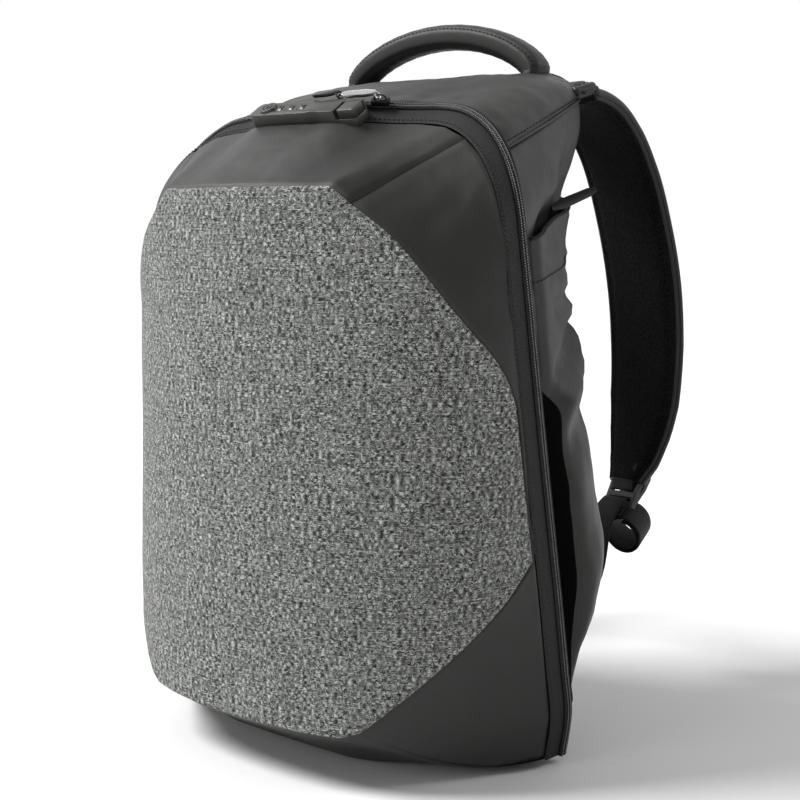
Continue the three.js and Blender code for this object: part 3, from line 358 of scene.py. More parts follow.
# Smooth refinement of a grid: curves through its points, straight on both sides of a marked corner
def refined(points, steps, corners=()):
    count = len(points)
    chords = np.linalg.norm(np.diff(points, axis=0), axis=-1)[..., None] + 1e-9
    slopes = np.diff(points, axis=0) / chords
    before = np.concatenate([slopes[:1], slopes])
    after = np.concatenate([slopes, slopes[-1:]])
    d_before = np.concatenate([chords[:1], chords])
    d_after = np.concatenate([chords, chords[-1:]])
    smooth = (before * d_after + after * d_before) / (d_before + d_after)
    leave, arrive = smooth.copy(), smooth.copy()
    for row, columns in corners:
        leave[row, columns] = after[row, columns]
        arrive[row, columns] = before[row, columns]
    out = []
    for i in range(count - 1):
        for s in range(steps):
            t = s / steps
            out.append((2 * t ** 3 - 3 * t ** 2 + 1) * points[i]
                       + (t ** 3 - 2 * t ** 2 + t) * chords[i] * leave[i]
                       + (3 * t ** 2 - 2 * t ** 3) * points[i + 1]
                       + (t ** 3 - t ** 2) * chords[i] * arrive[i + 1])
    out.append(points[-1])
    return np.array(out)


def fine_grid(grid, rows, columns, corners=()):
    tall = refined(grid, rows, corners)
    return refined(tall.swapaxes(0, 1), columns).swapaxes(0, 1)


def grid_normals(grid):
    return unit(np.cross(np.gradient(grid, axis=1), np.gradient(grid, axis=0)))


def border_distance(grid, sides="nsew"):
    """Distance from each point to the nearest chosen border: n first row, s last, w first column, e last."""
    down = lengths_along(grid, 0)
    over = lengths_along(grid, 1)
    options = {"n": down, "s": down[-1:] - down, "w": over, "e": over[:, -1:] - over}
    return np.min([options[side] for side in sides], axis=0)


def fold_noise(grid, size, seed):
    flat = grid.reshape(-1, 3) / size + seed
    values = [noise.fractal(Vector(p), 0.6, 2.0, 3) for p in flat]
    return np.array(values).reshape(grid.shape[:2])


def add_object(name, data):
    made = bpy.data.objects.new(name, data)
    bpy.context.scene.collection.objects.link(made)
    return made


def grid_object(name, grid, uv, material):
    """A mesh of quads from a grid in millimetres, with its cloth lengths as UVs."""
    rows, columns = grid.shape[:2]
    mesh = bpy.data.meshes.new(name)
    faces = [(i * columns + j, i * columns + j + 1, (i + 1) * columns + j + 1, (i + 1) * columns + j)
             for i in range(rows - 1) for j in range(columns - 1)]
    mesh.from_pydata([tuple(p) for p in grid.reshape(-1, 3) * MM], [], faces)
    layer = mesh.uv_layers.new(name="cloth")
    flat = uv.reshape(-1, 2)
    for loop in mesh.loops:
        layer.data[loop.index].uv = flat[loop.vertex_index] * MM * 10
    mesh.shade_smooth()
    mesh.materials.append(material)
    return add_object(name, mesh)


def cloth_uv(grid):
    middle = grid.shape[1] // 2
    over = lengths_along(grid, 1)
    over -= over[:, middle:middle + 1]
    down = lengths_along(grid[:, middle])
    return np.stack([over, np.repeat(down[:, None], grid.shape[1], 1)], -1)


def build_cloth(name, grid, finish, steps, replaces, lift=0.0, roll=2.5, depth=2.0, sides="nsew",
                corners=(), relief=None):
    """A skin over a grid, with its borders turned in, the relief added and nothing below the floor."""
    fine = fine_grid(oriented(grid), *steps, corners)
    normal = grid_normals(fine)
    distance = border_distance(fine, sides)
    height = lift - (depth + lift) * (1 - np.clip(distance / roll, 0, 1)) ** 2
    if relief is not None:
        height = height + relief(fine, normal, distance)
    placed = fine + normal * height[..., None]
    placed[..., 2] = np.maximum(placed[..., 2], 0)
    piece = grid_object(name, placed, cloth_uv(fine), MATERIALS[finish])
    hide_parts(*replaces)
    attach(piece, "bag")
    return piece


# Materials
class Shader:
    """A node material: a Principled shader and short ways to add what feeds it."""

    def __init__(self, name, colour, roughness, metallic=0.0, sheen=0.0, specular=0.5):
        self.material = bpy.data.materials.new(name)
        self.material.use_nodes = True
        self.nodes = self.material.node_tree.nodes
        self.links = self.material.node_tree.links
        self.shader = self.nodes["Principled BSDF"]
        self.set(self.shader, {"Base Color": (*colour, 1), "Roughness": roughness, "Metallic": metallic,
                               "Sheen Weight": sheen, "Specular IOR Level": specular})
        self.height = None

    def set(self, node, values):
        for key, value in values.items():
            if isinstance(value, bpy.types.NodeSocket):
                self.links.new(value, node.inputs[key])
            else:
                node.inputs[key].default_value = value

    def add(self, kind, inputs=None, **settings):
        node = self.nodes.new(kind)
        for key, value in settings.items():
            setattr(node, key, value)
        self.set(node, inputs or {})
        return node

    def math(self, operation, a, b=0.0):
        return self.add("ShaderNodeMath", {0: a, 1: b}, operation=operation).outputs[0]

    def wave(self, value, frequency):
        return self.math("SINE", self.math("MULTIPLY", value, frequency))

    def blend(self, *parts):
        """The sum of values, each times its weight."""
        terms = [self.math("MULTIPLY", value, weight) for value, weight in parts]
        total = terms[0]
        for term in terms[1:]:
            total = self.math("ADD", total, term)
        return total

    def scaled(self, vector, factor):
        factors = (factor, factor, factor)
        return self.add("ShaderNodeVectorMath", {0: vector, 1: factors}, operation="MULTIPLY").outputs[0]

    def cloth_lengths(self):
        """The cloth's own lengths in millimetres, across and along."""
        uv = self.add("ShaderNodeUVMap", uv_map="cloth").outputs[0]
        parts = self.add("ShaderNodeSeparateXYZ", {0: self.scaled(uv, 100)})
        return parts.outputs[0], parts.outputs[1]

    def object_lengths(self):
        return self.scaled(self.add("ShaderNodeTexCoord").outputs["Object"], 1000)

    def noise(self, vector, scale, detail=2.0):
        inputs = {"Vector": vector, "Scale": scale, "Detail": detail, "Roughness": 0.5}
        return self.add("ShaderNodeTexNoise", inputs).outputs[0]

    def woven(self, x, y, across, along, detail=1.0):
        """Noise with so many cells to the millimetre across and along the cloth."""
        place = self.add("ShaderNodeCombineXYZ", {0: self.math("MULTIPLY", x, across),
                                                  1: self.math("MULTIPLY", y, along)})
        return self.noise(place.outputs[0], 1.0, detail)

    def ramp(self, value, stops):
        node = self.add("ShaderNodeValToRGB", {0: value})
        elements = node.color_ramp.elements
        while len(elements) < len(stops):
            elements.new(0.5)
        for element, (place, colour) in zip(elements, stops):
            element.position = place
            element.color = (*colour, 1) if isinstance(colour, tuple) else (colour, colour, colour, 1)
        return node.outputs[0]

    def span(self, value, low, high):
        return self.add("ShaderNodeMapRange", {0: value, 3: low, 4: high}).outputs[0]

    def bump(self, height, distance, strength=1.0):
        inputs = {"Height": height, "Distance": distance * MM, "Strength": strength}
        if self.height is not None:
            inputs["Normal"] = self.height
        self.height = self.add("ShaderNodeBump", inputs).outputs[0]
        self.set(self.shader, {"Normal": self.height})

    def colour(self, value):
        self.set(self.shader, {"Base Color": value})

    def roughness(self, value):
        self.set(self.shader, {"Roughness": value})


def melange_material():
    s = Shader("melange_weave", (0.2, 0.2, 0.19), 0.85, sheen=0.05, specular=0.2)
    x, y = s.cloth_lengths()
    drift = s.woven(x, y, 0.07, 0.16, 2)
    zigzag = s.math("PINGPONG", s.blend((x, 1.0), (drift, 70)), 3.6)
    dashes = s.woven(x, s.blend((y, 1.0), (zigzag, 0.55)), 0.33, 1.3)
    streaks = s.woven(x, y, 0.03, 0.95)
    pepper = s.woven(x, y, 1.6, 2.3)
    mixed = s.blend((dashes, 0.72), (pepper, 0.14), (streaks, 0.14))
    s.colour(s.ramp(mixed, [(0.4, (0.01, 0.0105, 0.01)), (0.465, (0.05, 0.052, 0.049)),
                            (0.53, (0.16, 0.166, 0.157)), (0.605, (0.43, 0.443, 0.417))]))
    s.bump(mixed, 0.6, 0.8)
    return s.material


def coated_material():
    s = Shader("coated_cloth", (0.03, 0.031, 0.028), 0.5, sheen=0.02, specular=0.28)
    x, y = s.cloth_lengths()
    place = s.object_lengths()
    cloud = s.noise(place, 0.02, 3)
    grain = s.noise(place, 1.4, 2)
    tone = s.blend((cloud, 0.5), (grain, 0.5))
    s.colour(s.ramp(tone, [(0.3, (0.0135, 0.0142, 0.0128)), (0.7, (0.022, 0.0232, 0.0208))]))
    s.roughness(s.span(cloud, 0.4, 0.54))
    twill = s.wave(s.blend((x, 1.0), (y, 1.4)), 4.6)
    weft = s.wave(s.blend((y, 1.0), (x, -0.3)), 6.2)
    s.bump(s.blend((twill, 0.5), (weft, 0.35)), 0.09, 0.6)
    s.bump(s.noise(place, 0.045, 3), 2.2, 0.35)
    return s.material


def tape_material():
    s = Shader("zip_tape_weave", (0.03, 0.031, 0.03), 0.8, specular=0.2)
    x, y = s.cloth_lengths()
    speckle = s.woven(x, y, 1.3, 1.7, 2)
    height = s.blend((s.wave(y, 7.2), 0.35), (s.wave(x, 5.0), 0.25), (speckle, 1.2))
    s.colour(s.ramp(speckle, [(0.36, 0.006), (0.5, 0.018), (0.66, 0.05)]))
    s.bump(height, 0.18, 0.8)
    return s.material


def mesh_material():
    s = Shader("padded_mesh_cloth", (0.01, 0.01, 0.01), 0.9, specular=0.06)
    place = s.object_lengths()
    cells = s.add("ShaderNodeTexVoronoi", {"Vector": place, "Scale": 0.55}, feature="F1").outputs[0]
    s.colour(s.ramp(cells, [(0.15, 0.0025), (0.6, 0.01)]))
    s.bump(cells, 0.5, 0.8)
    s.bump(s.noise(place, 0.05, 3), 1.5, 0.3)
    return s.material


def webbing_material():
    s = Shader("ribbed_webbing", (0.014, 0.014, 0.014), 0.65, sheen=0.03, specular=0.2)
    x, y = s.cloth_lengths()
    chevron = s.wave(s.math("ADD", y, s.math("PINGPONG", x, 1.6)), 6.0)
    height = s.blend((s.wave(x, 3.9), 0.6), (chevron, 0.3))
    s.colour(s.ramp(s.span(height, 0, 1), [(0.1, 0.005), (0.9, 0.02)]))
    s.bump(height, 0.25, 0.8)
    return s.material


def grained(name, colour, roughness, metallic=0.0, depth=0.03, specular=0.5):
    """Moulded plastic, metal, thread or piping: fine grain in its gloss, its tone and its surface."""
    s = Shader(name, colour, roughness, metallic, specular=specular)
    place = s.object_lengths()
    fine = s.noise(place, 1.2, 3)
    s.roughness(s.span(s.noise(place, 0.15, 3), roughness - 0.06, roughness + 0.06))
    dark = tuple(c * 0.86 for c in colour)
    light = tuple(min(c * 1.14, 1) for c in colour)
    s.colour(s.ramp(fine, [(0.35, dark), (0.65, light)]))
    s.bump(fine, depth, 0.5)
    return s.material


MATERIALS = {
    "melange": melange_material(),
    "coated": coated_material(),
    "tape": tape_material(),
    "mesh": mesh_material(),
    "webbing": webbing_material(),
    "coil": grained("zip_coil", (0.004, 0.004, 0.0045), 0.26, specular=0.25),
    # Pale colour of the coil's stitch rows: real stitches, with a painted highlight
    "coil_thread_painted_highlight": grained("zip_coil_thread_painted_highlight", (0.24, 0.24, 0.23), 0.45),
    "binding": grained("strap_binding", (0.022, 0.023, 0.021), 0.55, depth=0.12, specular=0.28),
    # Near-black painted shade for the tuck beside the zip
    "groove_shade": grained("painted_groove_shade", (0.0025, 0.0025, 0.0025), 0.9, depth=0.1, specular=0.03),
    "piping": grained("piping_cloth", (0.006, 0.006, 0.006), 0.55, depth=0.12, specular=0.15),
    "thread": grained("sewing_thread", (0.006, 0.006, 0.006), 0.6, depth=0.1, specular=0.2),
    "plastic": grained("moulded_plastic", (0.03, 0.032, 0.03), 0.42, depth=0.06, specular=0.35),
    "lock": grained("lock_satin_metal", (0.06, 0.062, 0.058), 0.4, 0.65, specular=0.35),
    "dial": grained("dial_plastic", (0.012, 0.012, 0.012), 0.35),
    "figure": grained("dial_figures", (0.1, 0.1, 0.097), 0.5),
    "gunmetal": grained("dark_gunmetal", (0.03, 0.03, 0.033), 0.26, 0.85),
    "chrome": grained("bright_chrome", (0.72, 0.72, 0.73), 0.14, 1.0, depth=0.01),
    "inlay": grained("pale_inlay", (0.62, 0.6, 0.56), 0.35),
}


def settle(piece, body="bag"):
    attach(piece, body)
    return piece


def oriented(grid, centre=vec(0, -20, 220)):
    """The grid with its columns turned round where its normals would point into the bag."""
    outward = np.sum(grid_normals(grid) * (grid - centre))
    return grid[:, ::-1] if outward < 0 else grid


# Piping and stitches along a line of points
def direction(points):
    return unit(np.gradient(points, axis=0))


def tube(name, points, radius, finish, sides=8):
    along = direction(points)
    first = unit(np.cross(along, vec(0, 0, 1)))
    second = np.cross(along, first)
    turns = np.linspace(0, 2 * math.pi, sides + 1)
    grid = np.array([[p + (a * math.cos(t) + b * math.sin(t)) * radius for t in turns]
                     for p, a, b in zip(points, first, second)])
    piece = grid_object(name, grid, cloth_uv(grid), MATERIALS[finish])
    weld(piece)
    return settle(piece)


def weld(piece, distance=0.02):
    bm = bmesh.new()
    bm.from_mesh(piece.data)
    bmesh.ops.remove_doubles(bm, verts=bm.verts, dist=distance * MM)
    bmesh.ops.holes_fill(bm, edges=[e for e in bm.edges if e.is_boundary], sides=0)
    bmesh.ops.recalc_face_normals(bm, faces=bm.faces)
    bm.to_mesh(piece.data)
    bm.free()
    piece.data.shade_smooth()


def resampled(points, pitch):
    lengths = lengths_along(points)
    return points_at(np.arange(0, lengths[-1], pitch), lengths, points)


def stitches(name, points, pitch=3.4, length=2.3, radius=0.42, finish="thread"):
    """A row of small raised stitches, one mesh."""
    centres = resampled(points, pitch)
    along = direction(centres)
    side = unit(np.cross(along, vec(0.1, 0.2, 1)))
    up = np.cross(along, side)
    shape = [(1, 0, 0), (0.4, 1, 0), (0.4, 0, 1), (0.4, -1, 0), (0.4, 0, -1),
             (-0.4, 1, 0), (-0.4, 0, 1), (-0.4, -1, 0), (-0.4, 0, -1), (-1, 0, 0)]
    faces = []
    for k in range(4):
        n = (k + 1) % 4
        faces += [(0, 1 + k, 1 + n), (1 + k, 5 + k, 5 + n, 1 + n), (9, 5 + n, 5 + k)]
    verts, joined = [], []
    for p, a, b, c in zip(centres, along, side, up):
        joined += [tuple(len(verts) + v for v in face) for face in faces]
        verts += [tuple((p + a * x * length / 2 + b * y * radius + c * z * radius) * MM) for x, y, z in shape]
    mesh = bpy.data.meshes.new(name)
    mesh.from_pydata(verts, [], joined)
    mesh.shade_smooth()
    mesh.materials.append(MATERIALS[finish])
    return settle(add_object(name, mesh))


# Cloth of the bag
def wrinkles(strength, size, seed, reach=40.0):
    """Soft wrinkles that are strongest near the seams."""
    def relief(fine, normal, distance):
        folds = fold_noise(fine * np.array([1.0, 1.0, 0.6]), size, seed)
        return folds * strength * (0.35 + 0.65 * np.exp(-distance / reach)) * np.clip(distance / 6, 0, 1)
    return relief


def side_folds(points):
    """Height of the folds at points of a side wall."""
    total = np.zeros(points.shape[:-1])
    for y0, z0, y1, z1, depth, width in zip(*SIDE_FOLDS.values()):
        start = np.array([BACK_REACH * y0, ZIP_HEIGHT * z0])
        line = np.array([BACK_REACH * y1, ZIP_HEIGHT * z1]) - start
        offset = points[..., 1:] - start
        along = np.clip(offset @ line / (line @ line), 0, 1)
        distance = np.linalg.norm(offset - along[..., None] * line, axis=-1)
        total += depth * np.exp(-(distance / width) ** 2)
    return total


def zip_groove(points, distance):
    """The wall's deep tuck beside the zip, below the middle of the bag."""
    window = smoothstep(points[..., 2], 40, 90) * (1 - smoothstep(points[..., 2], 215, 262))
    return -GROOVE_DEPTH * window * np.exp(-((distance - GROOVE_PLACE) / GROOVE_WIDTH) ** 2)


def line_groove(piece):
    """The open tuck beside the zip, below the middle of the bag, is coloured near-black as painted shade."""
    piece.data.materials.append(MATERIALS["groove_shade"])
    for face in piece.data.polygons:
        _, y, z = face.center / MM
        reach = GROOVE_SHADE_REACH * smoothstep(GROOVE_SHADE_TOP - z, 0, GROOVE_SHADE_ROUND) * (0.45 + 0.55 * z / GROOVE_SHADE_TOP)
        # Faces in the tuck beside the zip take the near-black painted shade
        if y - flap_edge_y(z) - ZIP_BAND < reach:
            face.material_index = 1
    smooth_border(piece)


def smooth_border(piece, passes=8):
    """Evens out the stepped line along which two finishes of a piece meet."""
    bm = bmesh.new()
    bm.from_mesh(piece.data)
    beside = {}
    for edge in bm.edges:
        if len({face.material_index for face in edge.link_faces}) == 2:
            first, second = edge.verts
            beside.setdefault(first, []).append(second)
            beside.setdefault(second, []).append(first)
    for _ in range(passes):
        middles = {vert: sum((other.co for other in others), Vector()) / len(others)
                   for vert, others in beside.items()}
        for vert, middle in middles.items():
            vert.co = (vert.co + middle) / 2
    bm.to_mesh(piece.data)
    bm.free()


def side_wall_relief(fine, normal, distance):
    base = wrinkles(1.4, 40, 23)(fine, normal, distance)
    zip_side = border_distance(fine, "w" if fine[0, 0, 1] < fine[0, -1, 1] else "e")
    folds = side_folds(fine) * smoothstep(distance, 2, 16)
    return base + folds + zip_groove(fine, zip_side) * smoothstep(distance, 0, 5)


def right_and_left(name, grid, finish, steps, replaces, **options):
    return [build_cloth(f"{name}_{side}", turn(grid), finish, steps, [f"{replaces}_{side}"], **options)
            for side, turn in SIDES]


def panel_and_flap():
    corners = [(row, CORNER_COLUMNS) for row in (*PANEL_CORNER_ROWS, CREASE_ROW)]
    build_cloth("panel_weave", PANEL, "melange", (6, 12), ["front_panel"], lift=PANEL_STEP, roll=2.2,
                depth=1.2, corners=corners, relief=wrinkles(0.5, 60, 3))
    side_corners = [(row - HEM_ROW, CORNER_COLUMNS) for row in PANEL_CORNER_ROWS]
    right_and_left("flap_side_cloth", flap_side_grid(), "coated", (6, 8), "flap_side", roll=2.6, depth=1.8,
                   corners=side_corners, relief=wrinkles(1.3, 45, 11))
    top_corners = [(row, CORNER_COLUMNS) for row in (1, PANEL_COLUMNS + 1)]
    build_cloth("flap_top_cloth", flap_top_grid(), "coated", (6, 8), ["flap_top"], roll=2.4, depth=1.6,
                corners=top_corners, relief=wrinkles(1.0, 50, 17))


def body_skins():
    shares = (0, 0.25, 0.5, 0.75, 1)
    band = np.array([[band_point(k, share) for share in shares] for k in range(LAST_STATION + 1)])
    build_cloth("zip_tape_cloth", band, "tape", (6, 4), ["zip_tape"], roll=1.0, depth=0.6, sides="we")
    side = WALL[:SEAM_STATION + 1]
    top = WALL[SEAM_STATION:LAST_STATION - SEAM_STATION + 1]
    for piece in right_and_left("side_wall_cloth", side, "coated", (10, 12), "side_wall", roll=3.0, depth=2.2,
                                relief=side_wall_relief):
        line_groove(piece)
    build_cloth("top_wall_cloth", top, "coated", (6, 8), ["top_wall"], roll=3.0, depth=2.2,
                relief=wrinkles(1.6, 40, 29))
    build_cloth("underside_cloth", underside_grid(flap_side_grid()), "coated", (5, 5), ["underside"],
                depth=1.6, relief=wrinkles(0.5, 70, 31))


def back_pad_relief(fine, normal, distance):
    """Two padded columns with sewn cross channels and an air channel down the middle."""
    across = np.abs(fine[..., 0])
    middle = smoothstep(across, 7, 17)
    cross = np.ones_like(across)
    for height in PAD_CHANNELS:
        cross *= smoothstep(np.abs(fine[..., 2] - height), 2, 12)
    return PAD_DEPTH * middle * (0.25 + 0.75 * cross) * smoothstep(distance, 4, 22)


def back_pad():
    piece = build_cloth("back_pad", back_grid(), "mesh", (10, 10), ["back_panel"], roll=3.0,
                        relief=back_pad_relief)


def pocket_grid():
    grid = fine_grid(WALL[1:10, 1:-1], 10, 12)
    normal = grid_normals(grid)
    share = np.linspace(0, 1, grid.shape[0])[:, None]
    over = np.linspace(0, 1, grid.shape[1])[None]
    rise = np.where(share < 0.5, np.sin(math.pi * share), 1 - 0.5 * (2 * share - 1) ** 2)
    border = np.minimum(over, 1 - over)
    puff = 0.6 + (POCKET_STAND - 0.6) * smoothstep(border, 0, 0.07)
    puff = puff + POCKET_PUFF * rise * np.sin(math.pi * over) ** 0.8
    puff += 1.4 * fold_noise(grid * np.array([1, 1, 0.8]), 42, 41) * smoothstep(border, 0, 0.15)
    puff += 0.5 * fold_noise(grid, 16, 43) * np.exp(-border / 0.09) * smoothstep(border, 0, 0.04)
    puff += side_folds(grid) * smoothstep(border, 0.02, 0.2)
    puff += zip_groove(grid, 6 + border_distance(grid, "w")) * (over < 0.5)
    return with_sunk_border(grid + normal * puff[..., None], normal)


def with_sunk_border(grid, normal, depth=6.0):
    """The grid with its lower and side borders turned in, so that no slit shows there, and its normals."""
    normal = np.pad(normal, ((1, 0), (1, 1), (0, 0)), mode="edge")
    grid = np.pad(grid, ((1, 0), (1, 1), (0, 0)), mode="edge")
    sunk = np.zeros(grid.shape[:2])
    sunk[0] = sunk[:, 0] = sunk[:, -1] = depth
    return grid - normal * sunk[..., None], normal


def pockets():
    grid, normal = pocket_grid()
    rim = grid[-1] + normal[-1] * -2.2
    closed = np.concatenate([grid, [grid[-1] + vec(0, 0, 1.0)], [rim + vec(0, 0, 0.6)], [rim - vec(0, 0, 9)]])
    for side, points in (("right", closed), ("left", mirrored(closed)[:, ::-1])):
        piece = grid_object(f"pocket_cloth_{side}", points, cloth_uv(points), MATERIALS["coated"])
        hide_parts(f"side_pocket_{side}")
        line_groove(settle(piece))
        edge = points[grid.shape[0] - 1, 1:-1]
        tube(f"pocket_binding_{side}", edge, 1.0, "piping")
        outward = vec(0.5 if side == "right" else -0.5, 0, 0)
        stitches(f"pocket_stitches_{side}", points[grid.shape[0] - 5, 1:-1] + outward)


panel_and_flap()
body_skins()
back_pad()
pockets()


# Zip: a coil of fine ribs on both sides of a stitched line
def band_widths(count):
    """Vectors across the zip's band, from the flap's edge to the walls' edge."""
    inner, outer = refined(band_line(0.0), 8), refined(band_line(1.0), 8)
    return points_at(np.linspace(0, len(inner) - 1, count), np.arange(len(inner)), outer - inner)


def coil_normals(line):
    normal = unit(np.cross(direction(line), band_widths(len(line))))
    return normal * np.sign(np.sum(normal * (line - vec(0, 60, 200)), axis=1, keepdims=True))


def coil():
    fine = refined(band_line(TEETH_PLACE), 8)
    centre = resampled(fine, 0.3)
    lengths = np.linspace(0, lengths_along(fine)[-1], len(centre))
    across = unit(band_widths(len(centre)))
    normal = coil_normals(centre)
    places = np.array([-1, -0.97, -0.8, -0.55, -0.3, -0.1, 0, 0.1, 0.3, 0.55, 0.8, 0.97, 1])
    dome = np.array([0, 0.5, 0.85, 1, 0.96, 0.75, 0.55, 0.75, 0.96, 1, 0.85, 0.5, 0])
    phase = lengths[:, None] / COIL_PITCH + np.abs(places)[None] * 0.55
    rib = 0.5 + 0.5 * np.cos(2 * math.pi * phase)
    height = dome * (COIL_HEIGHT + COIL_RIB * rib)
    sideways = (places * TEETH_WIDTH / 2)[None, :, None]
    grid = centre[:, None] + across[:, None] * sideways + normal[:, None] * height[..., None]
    if np.sum(grid_normals(grid)[:, len(places) // 2] * normal) < 0:
        grid = grid[:, ::-1]
    piece = grid_object("zip_coil", grid, cloth_uv(grid), MATERIALS["coil"])
    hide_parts("zip_teeth")
    settle(piece)


def band_trims():
    tube("gusset_piping", refined(band_line(1.0), 6), 1.5, "piping")
    row = refined(band_line(0.12), 6) + vec(0, -0.3, 0.2)
    stitches("tape_stitches", row, pitch=3.0, length=2.0, radius=0.3)


def coil_threads():
    """The two rows of stitches that hold the coil to its tape, coloured pale as a painted highlight on the
    coil.
    """
    for word, share, first in (("front", 0.775, 0), ("rear", 0.895, 1)):
        line = resampled(refined(band_line(share), 8), 0.8)[first:]
        stitches(f"coil_thread_painted_highlight_{word}", line + coil_normals(line) * 2.25, pitch=1.6, length=1.2, radius=0.34,
                 finish="coil_thread_painted_highlight")


def top_seams():
    """Topstitching beside the seam between each side wall and the top wall."""
    seam = refined(0.82 * WALL[SEAM_STATION] + 0.18 * WALL[SEAM_STATION + 1], 8)
    normal = unit(np.cross(direction(seam), vec(-0.6, 0, 0.8)))
    normal *= np.sign(normal[:, 2:3])
    ridge = refined(WALL[SEAM_STATION], 8)
    row = (seam + normal * 1.7)[3:]
    for side, turn in SIDES:
        stitches(f"top_seam_stitches_{side}", turn(row), pitch=4.2, length=2.8, radius=0.7)
        tube(f"top_seam_ridge_{side}", turn(ridge[2:] + normal[2:] * -0.4), 0.8, "coated")


coil()
coil_threads()
band_trims()
top_seams()


# Straps, handle and webbing: sections lofted along a line
def loft(name, loops, finish, replaces=(), cover=None):
    """A closed skin through loops of points. A cover is a second finish, and the columns of faces with it."""
    closed = np.concatenate([loops, loops[:, :1]], axis=1)
    piece = grid_object(name, closed, cloth_uv(closed), MATERIALS[finish])
    if cover is not None:
        piece.data.materials.append(MATERIALS[cover[0]])
        for k, face in enumerate(piece.data.polygons):
            face.material_index = int(cover[1][k % loops.shape[1]])
    weld(piece)
    if replaces:
        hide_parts(*replaces)
    return settle(piece)


def both_sides(name, loops, finish, replaces, cover=None):
    right = loft(f"{name}_right", loops, finish, [f"{replaces}_right"], cover)
    turned = cover and (cover[0], np.roll(cover[1][::-1], -1))
    left = loft(f"{name}_left", mirrored(loops)[:, ::-1], finish, [f"{replaces}_left"], turned)
    return [right, left]


def squared(across, along):
    return unit(across - along * np.sum(across * along, axis=1, keepdims=True))


def rounded_section(count, wide_power, deep_power):
    """A round section, squared off: shares of half its width and of half its thickness."""
    turns = np.linspace(0, 2 * math.pi, count + 1)[:-1]
    wide, deep = np.cos(turns), np.sin(turns)
    return np.sign(wide) * np.abs(wide) ** wide_power, np.sign(deep) * np.abs(deep) ** deep_power


def strap_frames():
    """Centres, width directions, thickness directions and widths along the right strap."""
    rows = STRAP_ROWS
    points = np.stack([STRAP_SPREAD * np.array(rows["out"]), STRAP_REACH * np.array(rows["back"]),
                       BACK_HEIGHT * np.array(rows["height"])], -1)
    fine = refined(points, 10)
    at = np.linspace(0, len(points) - 1, len(fine))
    twist = np.radians(np.interp(at, range(len(points)), rows["twist"]))
    widths = STRAP_WIDTH * np.interp(at, range(len(points)), rows["width"])
    along = direction(fine)
    forward = unit(np.cross(vec(1, 0, 0), along))
    swing = np.where(forward[:, 1:2] < 0, 1, -1) * np.sin(twist)[:, None]
    across = squared(np.cos(twist)[:, None] * vec(1, 0, 0) + forward * swing, along)
    return fine, across, np.cross(across, along), along, widths


def strap_loops(centres, across, through, widths):
    """A foam strap: flat faces, a sewn groove near each edge, puckers along it and a rounded edge."""
    wide, deep = rounded_section(56, 0.55, 0.62)
    lengths = lengths_along(centres)
    groove = np.exp(-((np.abs(wide) - 0.8) / 0.055) ** 2)
    pucker = np.exp(-((np.abs(wide) - 0.72) / 0.13) ** 2)
    wave = np.sin(lengths * 2 * math.pi / 8.5) + 0.6 * np.sin(lengths * 2 * math.pi / 13.7 + 1)
    loops = []
    for c, a, t, w, ripple in zip(centres, across, through, widths, wave):
        half = STRAP_THICKNESS / 2 * (1 - 0.34 * groove + 0.05 * ripple * pucker)
        crown = 1 + 0.06 * (1 - wide ** 2)
        loops.append(c + a * (wide * w / 2)[:, None] + t * (deep * half * crown)[:, None])
    return np.array(loops)


def straps():
    centres, across, through, along, widths = strap_frames()
    loops = strap_loops(centres, across, through, widths)
    outside = np.sin(np.linspace(0, 2 * math.pi, loops.shape[1] + 1)[:-1]) > -0.5
    pieces = both_sides("strap_pad", loops, "mesh", "shoulder_strap", ("coated", outside))
    for edge in (-1, 1):
        line = centres + across * (edge * (widths / 2 - 0.4))[:, None]
        middle = centres + across * (edge * widths * 0.4)[:, None]
        seam, inner = middle + through * STRAP_THICKNESS * 0.35, middle - through * STRAP_THICKNESS * 0.35
        word = "outer" if edge > 0 else "inner"
        for side, turn in SIDES:
            tube(f"strap_piping_{word}_{side}", turn(line[3:]), 1.9, "binding")
            stitches(f"strap_stitches_{word}_back_{side}", turn(seam[3:]), pitch=4.0, length=2.8)
            stitches(f"strap_stitches_{word}_front_{side}", turn(inner[3:]), pitch=4.0, length=2.8)
    return centres[-1], across[-1], through[-1], along[-1]


STRAP_END = straps()


def band_loops(points, across, width, thickness):
    """A flat woven band with rounded edges."""
    along = direction(points)
    across = squared(across, along)
    through = np.cross(across, along)
    upper = [(-0.48, 0.35), (-0.44, 0.5), (-0.2, 0.5), (0, 0.5), (0.2, 0.5), (0.44, 0.5), (0.48, 0.35)]
    section = [(-0.5, 0)] + upper + [(0.5, 0)] + [(-w, -d) for w, d in upper]
    return np.array([[p + a * w * width + t * d * thickness for w, d in section]
                     for p, a, t in zip(points, across, through)])


ANCHOR_FOOT = vec(BACK_HALF_WIDTH * 0.76, BACK_REACH * 0.8, BACK_HEIGHT * 0.15)
ANCHOR_TIP = ANCHOR_FOOT + vec(3, 24, 8)


def lower_webbing():
    centre, across, through, along = STRAP_END
    slot = centre + along * (0.35 + WEB_WIDTH * 0.8 * 0.72)
    line = unit(ANCHOR_TIP - ANCHOR_FOOT)
    end = ANCHOR_TIP + line * 0.7
    points = np.array([slot + through * 0.5, slot - through * BUCKLE_THICKNESS,
                       slot - through * 1.9 * BUCKLE_THICKNESS + along * 6, end + line * 14, end])
    fine = refined(points, 10)
    turn = np.linspace(0, 1, len(fine))[:, None]
    loops = band_loops(fine, across * (1 - turn) + vec(1, 0, 0) * turn, WEB_WIDTH, WEB_THICKNESS)
    both_sides("lower_web", loops, "webbing", "lower_webbing")


TAIL_CENTRE = vec(STRAP_SPREAD * 0.98, STRAP_REACH * 0.91, BACK_HEIGHT * 0.2517)


